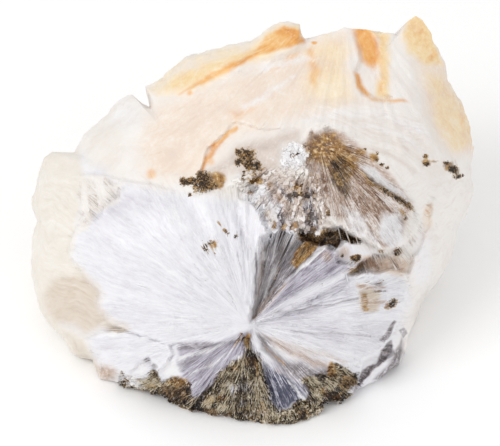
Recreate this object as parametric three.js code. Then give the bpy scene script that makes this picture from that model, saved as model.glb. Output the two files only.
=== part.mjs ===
// A raw thomsonite specimen: one broken lump of a mineral nodule, 56 mm wide.
//
// Its broken face leans back and shows fans of needle crystals that grew out of three
// centres. The lump is one grown-together solid, so it is one mesh. It lies on a flat
// broken base; its sides and back are the nodule's knobbly outer skin.
//
// The shape is a closed skin of directions round a point inside the stone, the heart.
// It is worked out in the face frame (u to the right, v up the broken face, w straight
// out of it) and then leant back into the part's frame (+X right, +Y to the back, +Z up).
import * as THREE from "three";
import { mergeVertices } from "three/addons/utils/BufferGeometryUtils.js";

// ---- Driving dimensions, in millimetres and degrees ----
const faceLean = THREE.MathUtils.degToRad(40); // the face's normal rises this far above level
const stoneHeight = 38; // from the base to the top of the rim
const faceRise = 51; // height of the broken face, measured along the face
const heart = { u: 0.6, v: 24, w: -10 };
const backBulge = 31; // how far the skin swells behind the rim
const skinRounds = 20; // subdivisions of the skin: 20 (skinRounds + 1)^2 triangles
const softEdge = 0.8; // least width of a step on the face, about one triangle
const frontCrowding = 0.5; // share by which the skin's points crowd on to the face
const leanSin = Math.sin(faceLean);
const leanCos = Math.cos(faceLean);

// The rim's outline as it is seen square on to the face, [u, v], anticlockwise.
const rimOutline = [
  [28.3, 29.2], [28, 32.6], [28.4, 35.8], [27.2, 38.7], [26.6, 40.8], [24.9, 43.2],
  [24.4, 45.6], [22.8, 47.6], [22.1, 49.4], [21.5, 50.5], [20.5, 50.9], [19.3, 50],
  [18.1, 48.5], [16.4, 48.9], [14, 49.4], [11.4, 49.2], [9.4, 48.6], [6.7, 47.9],
  [6.3, 48.7], [6.2, 50], [4.9, 50.1], [2.8, 49.7], [0, 48], [-3.8, 47.1],
  [-8, 46.3], [-9.3, 45.1], [-10.7, 43.4], [-13.1, 42.3], [-12.9, 41.4], [-12.4, 39.6],
  [-13.6, 40.2], [-14.8, 41.4], [-16.3, 40.6], [-17.8, 39], [-21, 36.5], [-22, 34.1],
  [-25.1, 34.3], [-26.2, 33.5], [-27.2, 30.7], [-27.5, 27.6], [-26.7, 25.4], [-27.4, 20.4],
  [-27.1, 17.1], [-26.1, 13.8], [-24.8, 12.3], [-23.2, 11], [-22.5, 9], [-19.6, 8.2],
  [-18.7, 5.9], [-16.1, 5.2], [-10.4, 3.6], [-8.5, 2.5], [-5.4, 1.7], [1, 0.6],
  [5, -0.1], [8, 1], [9.1, 3.1], [12.7, 4], [16, 5.8], [19.1, 7.7],
  [19.5, 10.7], [21.6, 15.2], [25.2, 21.1], [26.2, 24.6],
];

// The centres that the needles grew out of, and the angle between two ridges of a fan.
const growthCentres = {
  lower: { u: 0, v: 12.9, ridgeStep: 9 },
  upper: { u: 8.2, v: 35.6, ridgeStep: 11 },
  top: { u: 11.9, v: 53.5, ridgeStep: 7 },
};

const ridgeGrowth = 9; // distance from the centre at which ridges have their full height

// What stands proud of the face or lies back from it: an outline, the height at its
// middle, the slope of that height along u and v, and the width of the edge round it.
// needles names the growth centre, and ridge is the height of its fan's ridges.
const faceFeatures = {
  leftFan: {
    outline: [[-20.9, 31.1], [-18.8, 31.2], [-16.9, 30.6], [-13.1, 30.1], [-10.6, 29.5],
      [-7.5, 28.8], [-4.4, 28.9], [-1.9, 29.6], [-0.4, 29.4], [0, 27.8], [0, 23.8], [0.4, 18.8],
      [0.5, 14.4], [0.2, 12.5], [-0.5, 11.8], [-3.5, 10.8], [-6.9, 10], [-9.8, 10.4],
      [-12.5, 11.2], [-15.2, 12], [-17.4, 13.1], [-18.2, 14.4], [-18.8, 15.6], [-18.4, 16.9],
      [-19.8, 18.1], [-21.2, 19.6], [-22.2, 20.9], [-22.4, 21.9], [-22.2, 23.4], [-21.2, 25],
      [-20.6, 26.2], [-20.8, 28.8]],
    middle: [-10, 20], height: 1, slope: [-0.11, -0.04], edge: 0.7, needles: "lower", ridge: 0.35,
  },
  leftSteps: {
    outline: [[-20.9, 31.1], [-18.8, 31.1], [-16.5, 30.4], [-15.6, 29.4], [-16.6, 28.1],
      [-17.8, 27.5], [-18.4, 26.2], [-19.4, 25], [-20.6, 25], [-20.8, 28.1]],
    middle: [-19, 28], height: -0.7, slope: [0, 0], edge: 0.6,
  },
  lowerLobe: {
    outline: [[-20.2, 10.9], [-18.1, 11.8], [-15.2, 11.9], [-12.5, 11.1], [-10, 10.4],
      [-9.4, 9.1], [-10.2, 7.9], [-11.2, 7.1], [-12.5, 8.6], [-13.6, 8.1], [-14.9, 6.8],
      [-16.1, 6.6], [-18.1, 7.1], [-19.4, 8.6]],
    middle: [-15, 9], height: 1.4, slope: [-0.05, 0], edge: 0.6, needles: "lower", ridge: 0.3,
  },
  greyBundle: {
    outline: [[-9.5, 10.1], [-6.2, 9.9], [-3.5, 10.6], [-0.9, 11.4], [-1.1, 9.9], [-2.8, 8],
      [-4.1, 7.4], [-5.6, 5.6], [-7.2, 3.8], [-7.9, 5.1], [-8.4, 6.6], [-9.5, 7.8]],
    middle: [-6, 8], height: 0.2, slope: [-0.06, -0.12], edge: 0.6, needles: "lower", ridge: 0.6,
  },
  darkValley: {
    outline: [[0.1, 13.4], [0.5, 15.6], [0.8, 18.8], [1, 21.9], [1.5, 23.4], [2.8, 24.1],
      [4.4, 24.4], [6.2, 23.6], [7.5, 22.4], [6.2, 20], [4.8, 18.5], [3.2, 17.1], [2, 15.4],
      [0.8, 13.9]],
    middle: [3, 20], height: -2.6, slope: [0.15, -0.2], edge: 1.4, needles: "lower", ridge: 0.5,
  },
  whiteSliver: {
    outline: [[-1.5, 28.1], [0, 27.8], [1, 26.2], [2.2, 24.4], [2.8, 23.4], [1.5, 22.9],
      [1, 21.2], [0.9, 19.4], [0.5, 15.6], [0.2, 13.4], [-0.2, 15.6], [0, 20.6]],
    middle: [0.8, 22], height: 0.9, slope: [0, 0.05], edge: 0.6, needles: "lower", ridge: 0.3,
  },
  lilacBlade: {
    outline: [[0.4, 13.1], [2, 15.2], [4.2, 17.5], [6.2, 19.6], [9, 22.6], [10.4, 21.9],
      [10.8, 20.4], [12.5, 20.2], [13.5, 20.1], [11.9, 19], [10, 17.6], [6.9, 15.6], [3.8, 14.1]],
    middle: [7, 19], height: 1.7, slope: [0.02, 0.16], edge: 0.5, needles: "lower", ridge: 0.4,
  },
  rightFan: {
    outline: [[0.5, 12.9], [3.8, 14.1], [6.9, 15.6], [10, 17.6], [11.9, 19], [14.5, 19.4],
      [17.8, 19.2], [19.2, 19.1], [19.8, 17.5], [19.1, 15.6], [18.5, 13.4], [17.8, 11.6],
      [16.8, 9.6], [15.2, 8.6], [13.5, 7.9], [11.9, 7.4], [9.8, 7.4], [6.2, 8.9], [1.5, 10],
      [0.2, 11.6]],
    middle: [10, 13], height: 0.9, slope: [0.1, 0.02], edge: 0.6, needles: "lower", ridge: 0.5,
  },
  brokenBlocks: {
    outline: [[-1.5, 29.1], [-1.8, 30.4], [-0.2, 31.2], [1.5, 31.9], [3.8, 31.9], [6.2, 32.1],
      [7.8, 31.2], [8.5, 29.6], [8.5, 27.5], [8, 25.4], [7.2, 24.1], [6, 24.4], [4.4, 24.6],
      [2.5, 24.6], [1, 26.6], [0, 28.1]],
    middle: [3, 28], height: 0.3, slope: [0.05, 0.05], edge: 0.8, needles: "upper", ridge: 0.9,
  },
  druse: {
    outline: [[3.9, 33.4], [4.6, 34.6], [5.8, 35.1], [7, 34.6], [7.4, 33.6], [6.9, 32.8], [6, 32],
      [4.8, 32], [3.9, 32.5]],
    middle: [5.6, 33.6], height: 0.5, slope: [0, 0], edge: 0.8,
  },
  brownFan: {
    outline: [[7.2, 34.4], [7.8, 36.1], [9.4, 36.9], [11, 36.5], [12.5, 34.9], [14, 32.4],
      [16.2, 30], [18.8, 28.1], [20.2, 26.9], [20.8, 25], [19.8, 23.4], [18.2, 22], [16.2, 22],
      [14.4, 22.9], [12.5, 23.9], [10.6, 24.8], [9, 26.1], [8.5, 28.1], [8, 30], [7, 31.9]],
    middle: [13, 29], height: 0.9, slope: [0.05, -0.16], edge: 0.8, needles: "upper", ridge: 0.6,
  },
  crevice: {
    outline: [[5.9, 24.6], [7.2, 24.2], [8.2, 23.2], [9, 23.9], [9.8, 24.6], [11, 24.6],
      [12, 23.9], [13.5, 23], [12.5, 22.8], [11.6, 23], [10.9, 22.4], [10.1, 22], [9.4, 22.8],
      [8.2, 23], [7, 23.1], [6, 23.9]],
    middle: [9, 23.5], height: -2.6, slope: [0, 0], edge: 0.9,
  },
  recess: {
    outline: [[11.8, 19], [13, 19.9], [14, 20.9], [15.2, 21.6], [17.2, 21.4], [19, 22.1],
      [20.2, 23.4], [21.2, 25.4], [21.8, 27.5], [22.6, 27.9], [22.5, 25.4], [21.4, 23.1],
      [20.2, 21.1], [19.9, 19.1], [17.8, 19.2], [14.5, 19.4]],
    middle: [18, 21], height: -1.6, slope: [0, 0], edge: 0.8,
  },
  rimCrack: {
    outline: [[13.6, 6.2], [13.9, 7.5], [14.6, 8.2], [16, 8.5], [16.4, 9.4], [17.6, 9.9],
      [17.9, 9], [16.8, 8], [15.5, 7.1], [14.5, 6], [13.8, 5.4]],
    middle: [17, 9], height: -2, slope: [0, 0], edge: 0.8,
  },
  rimLobe: {
    outline: [[12.5, 4.4], [14.5, 6], [15.5, 7.1], [17, 8.1], [17.9, 9.1], [18.5, 10.6],
      [19.6, 11.6], [19.4, 7.9], [17.5, 5.9], [15, 4.4], [12.8, 3.4]],
    middle: [16, 7], height: 0.5, slope: [0.1, 0], edge: 0.8,
  },
  topBlade: {
    outline: [[-13.4, 41.6], [-10.6, 41.6], [-8.8, 41.2], [-7.2, 41.1], [-5.6, 42.6],
      [-3.5, 43.6], [-1.2, 44.5], [1.2, 45.4], [4.4, 46.1], [6.5, 46.9], [6.6, 48.4], [6.8, 50.9],
      [5, 51.6], [1.5, 49.9], [-3.1, 47.9], [-8.8, 46.6], [-13.1, 43.4]],
    middle: [-3, 45], height: 2.2, slope: [0.04, 0.1], edge: 0.7,
  },
  peachLedge: {
    outline: [[-6.4, 31.4], [-5.9, 33.1], [-5, 34.6], [-3.5, 35.9], [-1.8, 37.6], [1.5, 36.9],
      [6, 37.1], [6.2, 35.6], [4.4, 34.6], [1.5, 34.4], [-1.2, 34.4], [-1.9, 32.5], [-4.4, 31.6]],
    middle: [0, 34], height: -0.6, slope: [0, 0], edge: 0.7,
  },
  rightFacet: {
    outline: [[18.5, 49.6], [19.8, 45.6], [21, 40.6], [22, 38.1], [23.5, 35.6], [25.2, 33.1],
      [28.2, 32.1], [29, 35.6], [26, 44.4], [23.1, 51.6], [20, 51.9]],
    middle: [23, 41], height: -1.2, slope: [-0.3, 0], edge: 1.6,
  },
  orangeGroove: {
    outline: [[12.9, 50.1], [15.2, 49.6], [15.8, 46.9], [15.5, 44.9], [16.5, 41.2], [17.5, 40.9],
      [16.2, 40.1], [14, 41.1], [12.8, 43.8], [13.5, 45.6]],
    middle: [15, 45], height: -1.2, slope: [0, 0], edge: 0.9,
  },
  matrixBand: {
    outline: [[-16.4, 4.4], [-16.1, 6.4], [-14, 5.9], [-12.8, 6.1], [-12.2, 7.1], [-11.1, 5.6],
      [-9.8, 6], [-8.2, 5.4], [-7.4, 4.9], [-7.1, 3.4], [-5.6, 4.4], [-4.5, 5.4], [-3.5, 7.1],
      [-1.2, 8.4], [-0.6, 11.1], [0.1, 10.6], [1.2, 8.9], [2.2, 5.9], [2.8, 3.1], [4.1, 2],
      [5.9, 2.9], [7.1, 3.4], [6.8, 5.4], [8, 6.4], [9.8, 6.4], [11, 7.6], [13.5, 6.4],
      [13.2, 5.1], [12, 3.9], [11.2, 1.9], [6.2, -1.2], [-6.2, -0.6], [-13.8, 2.1]],
    middle: [0, 5], height: -0.7, slope: [0, 0], edge: 0.8,
  },
};

// The upper part of the face, above this height, carries a broad fan from the top centre.
const upperFace = { from: 31, over: 4, ridge: 0.6 };

// Broken facets of the back and the sides: outward normal in the part's frame, and the
// facet's distance from the heart.
const backFacets = [
  { normal: [0.1, 0.98, -0.05], distance: 19.5 },
  { normal: [-0.72, 0.66, -0.1], distance: 26.2 },
  { normal: [0.62, 0.76, 0.14], distance: 27 },
  { normal: [-0.12, 0.72, 0.69], distance: 25 },
  { normal: [0.3, 0.7, -0.65], distance: 20 },
];

// Rounded knobs of the outer skin, spread round the stone on a golden-angle spiral. They
// are lowest at the rim, by the share atRim, and reach their full height behind it.
const knobs = { count: 90, height: 1.0, halfAngle: THREE.MathUtils.degToRad(11), atRim: 0.35 };

// ---- Small helpers ----
const clamp01 = (x) => Math.min(1, Math.max(0, x));
const smooth = (x) => x * x * (3 - 2 * x);
const smoothStep = (from, to, x) => smooth(clamp01((x - from) / (to - from)));

// A fixed pseudo-random number from 0 to 1 for a lattice point.
function chance(i, j, k) {
  const wave = Math.sin(i * 12.9898 + j * 78.233 + k * 37.719) * 43758.5453;
  return wave - Math.floor(wave);
}

// Smooth noise from -1 to 1: lattice chances, eased between the lattice points.
function noise(x, y, z) {
  const [i, j, k] = [Math.floor(x), Math.floor(y), Math.floor(z)];
  const [a, b, c] = [smooth(x - i), smooth(y - j), smooth(z - k)];
  let sum = 0;
  for (let corner = 0; corner < 8; corner++) {
    const [p, q, r] = [corner & 1, (corner >> 1) & 1, corner >> 2];
    sum += (p ? a : 1 - a) * (q ? b : 1 - b) * (r ? c : 1 - c) * chance(i + p, j + q, k + r);
  }
  return 2 * sum - 1;
}

// Distance from (u, v) to a closed outline, positive inside it.
function depthInside(outline, u, v) {
  let nearest = Infinity;
  let inside = false;
  outline.forEach(([u1, v1], i) => {
    const [u0, v0] = outline[(i + outline.length - 1) % outline.length];
    const [du, dv] = [u1 - u0, v1 - v0];
    const along = clamp01(((u - u0) * du + (v - v0) * dv) / (du * du + dv * dv));
    nearest = Math.min(nearest, Math.hypot(u - u0 - along * du, v - v0 - along * dv));
    if (v0 > v !== v1 > v && u < u0 + ((v - v0) / dv) * du) inside = !inside;
  });
  return inside ? nearest : -nearest;
}

// ---- The rim ----
const rimTurns = rimOutline
  .map(([u, v]) => ({
    turn: Math.atan2(v - heart.v, u - heart.u),
    reach: Math.hypot(u - heart.u, v - heart.v),
  }))
  .sort((a, b) => a.turn - b.turn);

// How far the rim lies from the heart, square on, at this turn round the face.
function rimReach(turn) {
  const last = rimTurns.length - 1;
  let next = rimTurns.findIndex((point) => point.turn > turn);
  if (next < 0) next = 0;
  const a = rimTurns[next === 0 ? last : next - 1];
  const b = rimTurns[next];
  const span = (b.turn - a.turn + 2 * Math.PI) % (2 * Math.PI);
  const step = (turn - a.turn + 2 * Math.PI) % (2 * Math.PI);
  return a.reach + ((b.reach - a.reach) * step) / span;
}

// The same reach with its notches and points smoothed away: its first few harmonics.
const rimHarmonics = Array.from({ length: 7 }, (_, order) => {
  const samples = 360;
  let [cosine, sine] = [0, 0];
  for (let i = 0; i < samples; i++) {
    const turn = (2 * Math.PI * i) / samples - Math.PI;
    const share = (order === 0 ? 1 : 2) / samples;
    cosine += share * rimReach(turn) * Math.cos(order * turn);
    sine += share * rimReach(turn) * Math.sin(order * turn);
  }
  return { order, cosine, sine };
});
function smoothReach(turn) {
  let reach = 0;
  for (const { order, cosine, sine } of rimHarmonics)
    reach += cosine * Math.cos(order * turn) + sine * Math.sin(order * turn);
  return reach;
}

// The rim climbs from the base at the front to the stone's top at the back.
function rimDepth(v) {
  const height = stoneHeight * Math.pow(Math.max(v, 0) / faceRise, 2.1);
  return (height - v * leanCos) / leanSin;
}

// ---- The broken face ----
// Two broad planes meet in a blunt ridge across the face.
function facePlane(u, v) {
  const lower = 2.5 + 0.32 * (v - 3);
  const upper = 8.2 - 0.4 * (v - 27);
  const blunt = 1.2;
  const ridge = -blunt * Math.log(Math.exp(-lower / blunt) + Math.exp(-upper / blunt));
  return ridge - 0.006 * u * u;
}

// Flat-sided ridges that run out from a growth centre and grow with the distance.
function fanRidges(centre, u, v) {
  const distance = Math.hypot(u - centre.u, v - centre.v);
  const turn = THREE.MathUtils.radToDeg(Math.atan2(v - centre.v, u - centre.u));
  const place = (turn + 360) / centre.ridgeStep;
  const first = Math.floor(place);
  const blend = place - first;
  const [near, far] = [first, first + 1].map((ridge) => chance(ridge, 5, centre.ridgeStep));
  const height = (1 - blend) * near + blend * far;
  return (2 * height - 1) * clamp01(distance / ridgeGrowth);
}

function faceHeight(u, v) {
  const raggedU = u + 0.4 * noise(u / 2.2, v / 2.2, 3.5);
  const raggedV = v + 0.4 * noise(u / 2.2, v / 2.2, 9.5);
  let height = facePlane(u, v);
  let covered = 0;
  for (const feature of Object.values(faceFeatures)) {
    const depth = depthInside(feature.outline, raggedU, raggedV);
    const edge = Math.max(feature.edge, softEdge);
    const share = smoothStep(-edge / 2, edge / 2, depth);
    if (share === 0) continue;
    const [slopeU, slopeV] = feature.slope;
    const [middleU, middleV] = feature.middle;
    height += share * (feature.height + slopeU * (u - middleU) + slopeV * (v - middleV));
    if (feature.needles)
      height += share * feature.ridge * fanRidges(growthCentres[feature.needles], u, v);
    covered = Math.max(covered, share);
  }
  const upper = smoothStep(upperFace.from, upperFace.from + upperFace.over, v) * (1 - covered);
  return height + upper * upperFace.ridge * fanRidges(growthCentres.top, u, v);
}

// ---- The outer skin ----
const goldenAngle = Math.PI * (3 - Math.sqrt(5));
const knobPlaces = Array.from({ length: knobs.count }, (_, i) => {
  const along = 1 - (2 * (i + 0.5)) / knobs.count;
  const round = Math.sqrt(1 - along * along);
  const turn = i * goldenAngle;
  return {
    place: new THREE.Vector3(round * Math.cos(turn), round * Math.sin(turn), along),
    size: 0.6 + 0.7 * chance(i, 1, 1),
  };
});

// Height of the skin's knobs in a direction from the heart: the tallest dome there.
function knobHeight(direction) {
  let height = 0;
  for (const { place, size } of knobPlaces) {
    const off = Math.acos(Math.min(1, direction.dot(place))) / (knobs.halfAngle * size);
    if (off < 1) height = Math.max(height, size * Math.sqrt(1 - off * off));
  }
  return height * knobs.height;
}

// Face frame to part frame, both from the lowest point of the rim.
const lean = (u, v, w) => new THREE.Vector3(u, v * leanSin - w * leanCos, v * leanCos + w * leanSin);
const heartPoint = lean(heart.u, heart.v, heart.w);

// Pulls a point straight back to the heart until it lies on the facet, if it is outside.
function cutByFacet(fromHeart, normal, distance) {
  const out = fromHeart.dot(normal);
  if (out > distance) fromHeart.multiplyScalar(distance / out);
}

const facets = backFacets.map(({ normal, distance }) => ({
  normal: new THREE.Vector3(...normal).normalize(),
  distance,
}));
const down = new THREE.Vector3(0, 0, -1);

// The point of the stone's surface for a direction of the skin, in the face frame.
function surfacePoint(direction) {
  const even = Math.acos(THREE.MathUtils.clamp(direction.z, -1, 1));
  const opening = even - frontCrowding * Math.sin(even);
  const turn = Math.atan2(direction.y, direction.x);
  const ring = Math.sin(opening);
  const evenRim = smoothReach(turn);
  const reach = ring * (evenRim + (rimReach(turn) - evenRim) * ring ** 12);
  const u = heart.u + reach * Math.cos(turn);
  const v = heart.v + reach * Math.sin(turn);
  const rimW = rimDepth(heart.v + evenRim * Math.sin(turn));
  const front = opening < Math.PI / 2;
  const crown = front ? Math.sqrt(1 - ring ** 3) : 0;
  const w = front
    ? rimW + (faceHeight(u, v) - rimW) * crown
    : rimW - (backBulge + rimW / 2) * Math.pow(-Math.cos(opening), 0.8);
  const fromHeart = lean(u, v, w).sub(heartPoint);
  facets.forEach(({ normal, distance }) => cutByFacet(fromHeart, normal, distance));
  const outward = fromHeart.clone().normalize();
  const skin = 1 - smoothStep(0.1, 0.6, crown);
  const behind = front ? 0 : smoothStep(0, 0.35, 1 - ring);
  const knobShare = knobs.atRim + (1 - knobs.atRim) * behind;
  const swell = knobShare * (knobHeight(outward) - knobs.height / 2);
  const rough = 0.35 * noise(fromHeart.x / 3, fromHeart.y / 3, fromHeart.z / 3);
  fromHeart.addScaledVector(outward, skin * (swell + rough));
  cutByFacet(fromHeart, down, heartPoint.z);
  return fromHeart.add(heartPoint);
}

// ---- The stone ----
function stoneGeometry() {
  const geometry = new THREE.IcosahedronGeometry(1, skinRounds);
  geometry.deleteAttribute("normal");
  geometry.deleteAttribute("uv");
  const skin = mergeVertices(geometry, 1e-6);
  const positions = skin.getAttribute("position");
  const direction = new THREE.Vector3();
  for (let i = 0; i < positions.count; i++) {
    direction.fromBufferAttribute(positions, i).normalize();
    const { x, y, z } = surfacePoint(direction);
    positions.setXYZ(i, x, y, z);
  }
  skin.computeBoundingBox();
  const middle = skin.boundingBox.getCenter(new THREE.Vector3());
  skin.translate(-middle.x, -middle.y, -skin.boundingBox.min.z);
  return skin;
}

const milkyCrystal = new THREE.MeshStandardMaterial({
  color: 0xeae2dc,
  roughness: 0.55,
  metalness: 0,
  flatShading: true,
});

const stone = new THREE.Mesh(stoneGeometry(), milkyCrystal);
stone.name = "thomsonite_stone";

const specimen = new THREE.Group();
specimen.add(stone);

export default specimen;
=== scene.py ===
import math

import bpy
import numpy as np
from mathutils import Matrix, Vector


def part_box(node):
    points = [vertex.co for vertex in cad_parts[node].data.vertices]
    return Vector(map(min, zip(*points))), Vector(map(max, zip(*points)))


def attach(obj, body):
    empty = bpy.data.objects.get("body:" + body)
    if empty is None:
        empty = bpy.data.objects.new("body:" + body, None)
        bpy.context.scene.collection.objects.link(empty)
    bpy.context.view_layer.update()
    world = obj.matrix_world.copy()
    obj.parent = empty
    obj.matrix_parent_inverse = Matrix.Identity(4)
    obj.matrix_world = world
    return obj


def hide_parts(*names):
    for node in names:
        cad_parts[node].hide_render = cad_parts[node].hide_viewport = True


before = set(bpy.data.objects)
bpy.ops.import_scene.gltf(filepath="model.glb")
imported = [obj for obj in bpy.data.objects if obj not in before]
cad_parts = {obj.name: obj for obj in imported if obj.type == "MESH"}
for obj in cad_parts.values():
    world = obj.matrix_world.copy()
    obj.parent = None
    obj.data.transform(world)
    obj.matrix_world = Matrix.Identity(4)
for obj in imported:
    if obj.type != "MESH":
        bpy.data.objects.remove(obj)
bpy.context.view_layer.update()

stoneLow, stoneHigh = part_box("thomsonite_stone")
print("loaded the frame")

# Lengths are millimetres until a mesh is made. The stone is worked out in its face frame:
# u to the right, v up the broken face, w straight out of it. An outline lists its corners as
# u, v, u, v and so on, in tenths of a millimetre.
millimetre = 0.001
stoneForm = dict(
    faceLean=40,  # degrees by which the face's normal rises above level
    height=38,
    faceRise=51,
    heart=(0.6, 24.0, -10.0),
    backBulge=31,
    knobCount=90,
    knobHeight=1.0,
    knobAngle=11,  # degrees
    knobAtRim=0.35,  # share of a knob's height that is left at the rim
    knobFull=0.35,  # distance behind the rim, in rings, at which knobs have their full height
    knobSize=(0.6, 0.7),  # a knob's smallest size as a share, and how much chance adds
    skinCrown=(0.1, 0.6),  # the skin thins out where the crown rises through this range
    reachBack=(0.2, 0.95),  # rings behind the rim over which the face's colours set in
    rimHarmonics=7,
    rimClimb=2.1,  # power of v by which the rim climbs to the stone's top
    rimPull=12,  # power of the ring by which the rim's notches fade towards the middle
    crownPower=3,  # power of the ring by which the face is rounded down to the rim
    backPower=0.8,  # power by which the back swells behind the rim
    middleStep=1.15,  # radians of opening per whole ring at the face's middle; more further out
    frontRows=280,  # quads along a side of the face's grid; the back has half as many
)
view = dict(distance=600, frameWidth=62.5, middle=(0, 25.25, -7), sensor=36, clip=(10, 10000))
leanSin = math.sin(math.radians(stoneForm["faceLean"]))
leanCos = math.cos(math.radians(stoneForm["faceLean"]))

# The rim's outline square on to the face, anticlockwise.
rimOutline = [
    283, 292, 280, 326, 284, 358, 272, 387, 266, 408, 249, 432, 244, 456, 228, 476, 221, 494, 215, 505,
    205, 509, 193, 500, 181, 485, 164, 489, 140, 494, 114, 492, 94, 486, 67, 479, 63, 487, 62, 500,
    49, 501, 28, 497, 0, 480, -38, 471, -80, 463, -93, 451, -107, 434, -131, 423, -129, 414, -124, 396,
    -136, 402, -148, 414, -163, 406, -178, 390, -210, 365, -220, 341, -251, 343, -262, 335, -272, 307,
    -275, 276, -267, 254, -274, 204, -271, 171, -261, 138, -248, 123, -232, 110, -225, 90, -196, 82,
    -187, 59, -161, 52, -104, 36, -85, 25, -54, 17, 10, 6, 50, -1, 80, 10, 91, 31, 127, 40, 160, 58,
    191, 77, 195, 107, 216, 152, 252, 211, 262, 246,
]

# The points that the needles grew out of.
growthCentres = dict(lower=(0.0, 12.9), upper=(8.2, 35.6), top=(11.9, 53.5))

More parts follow.
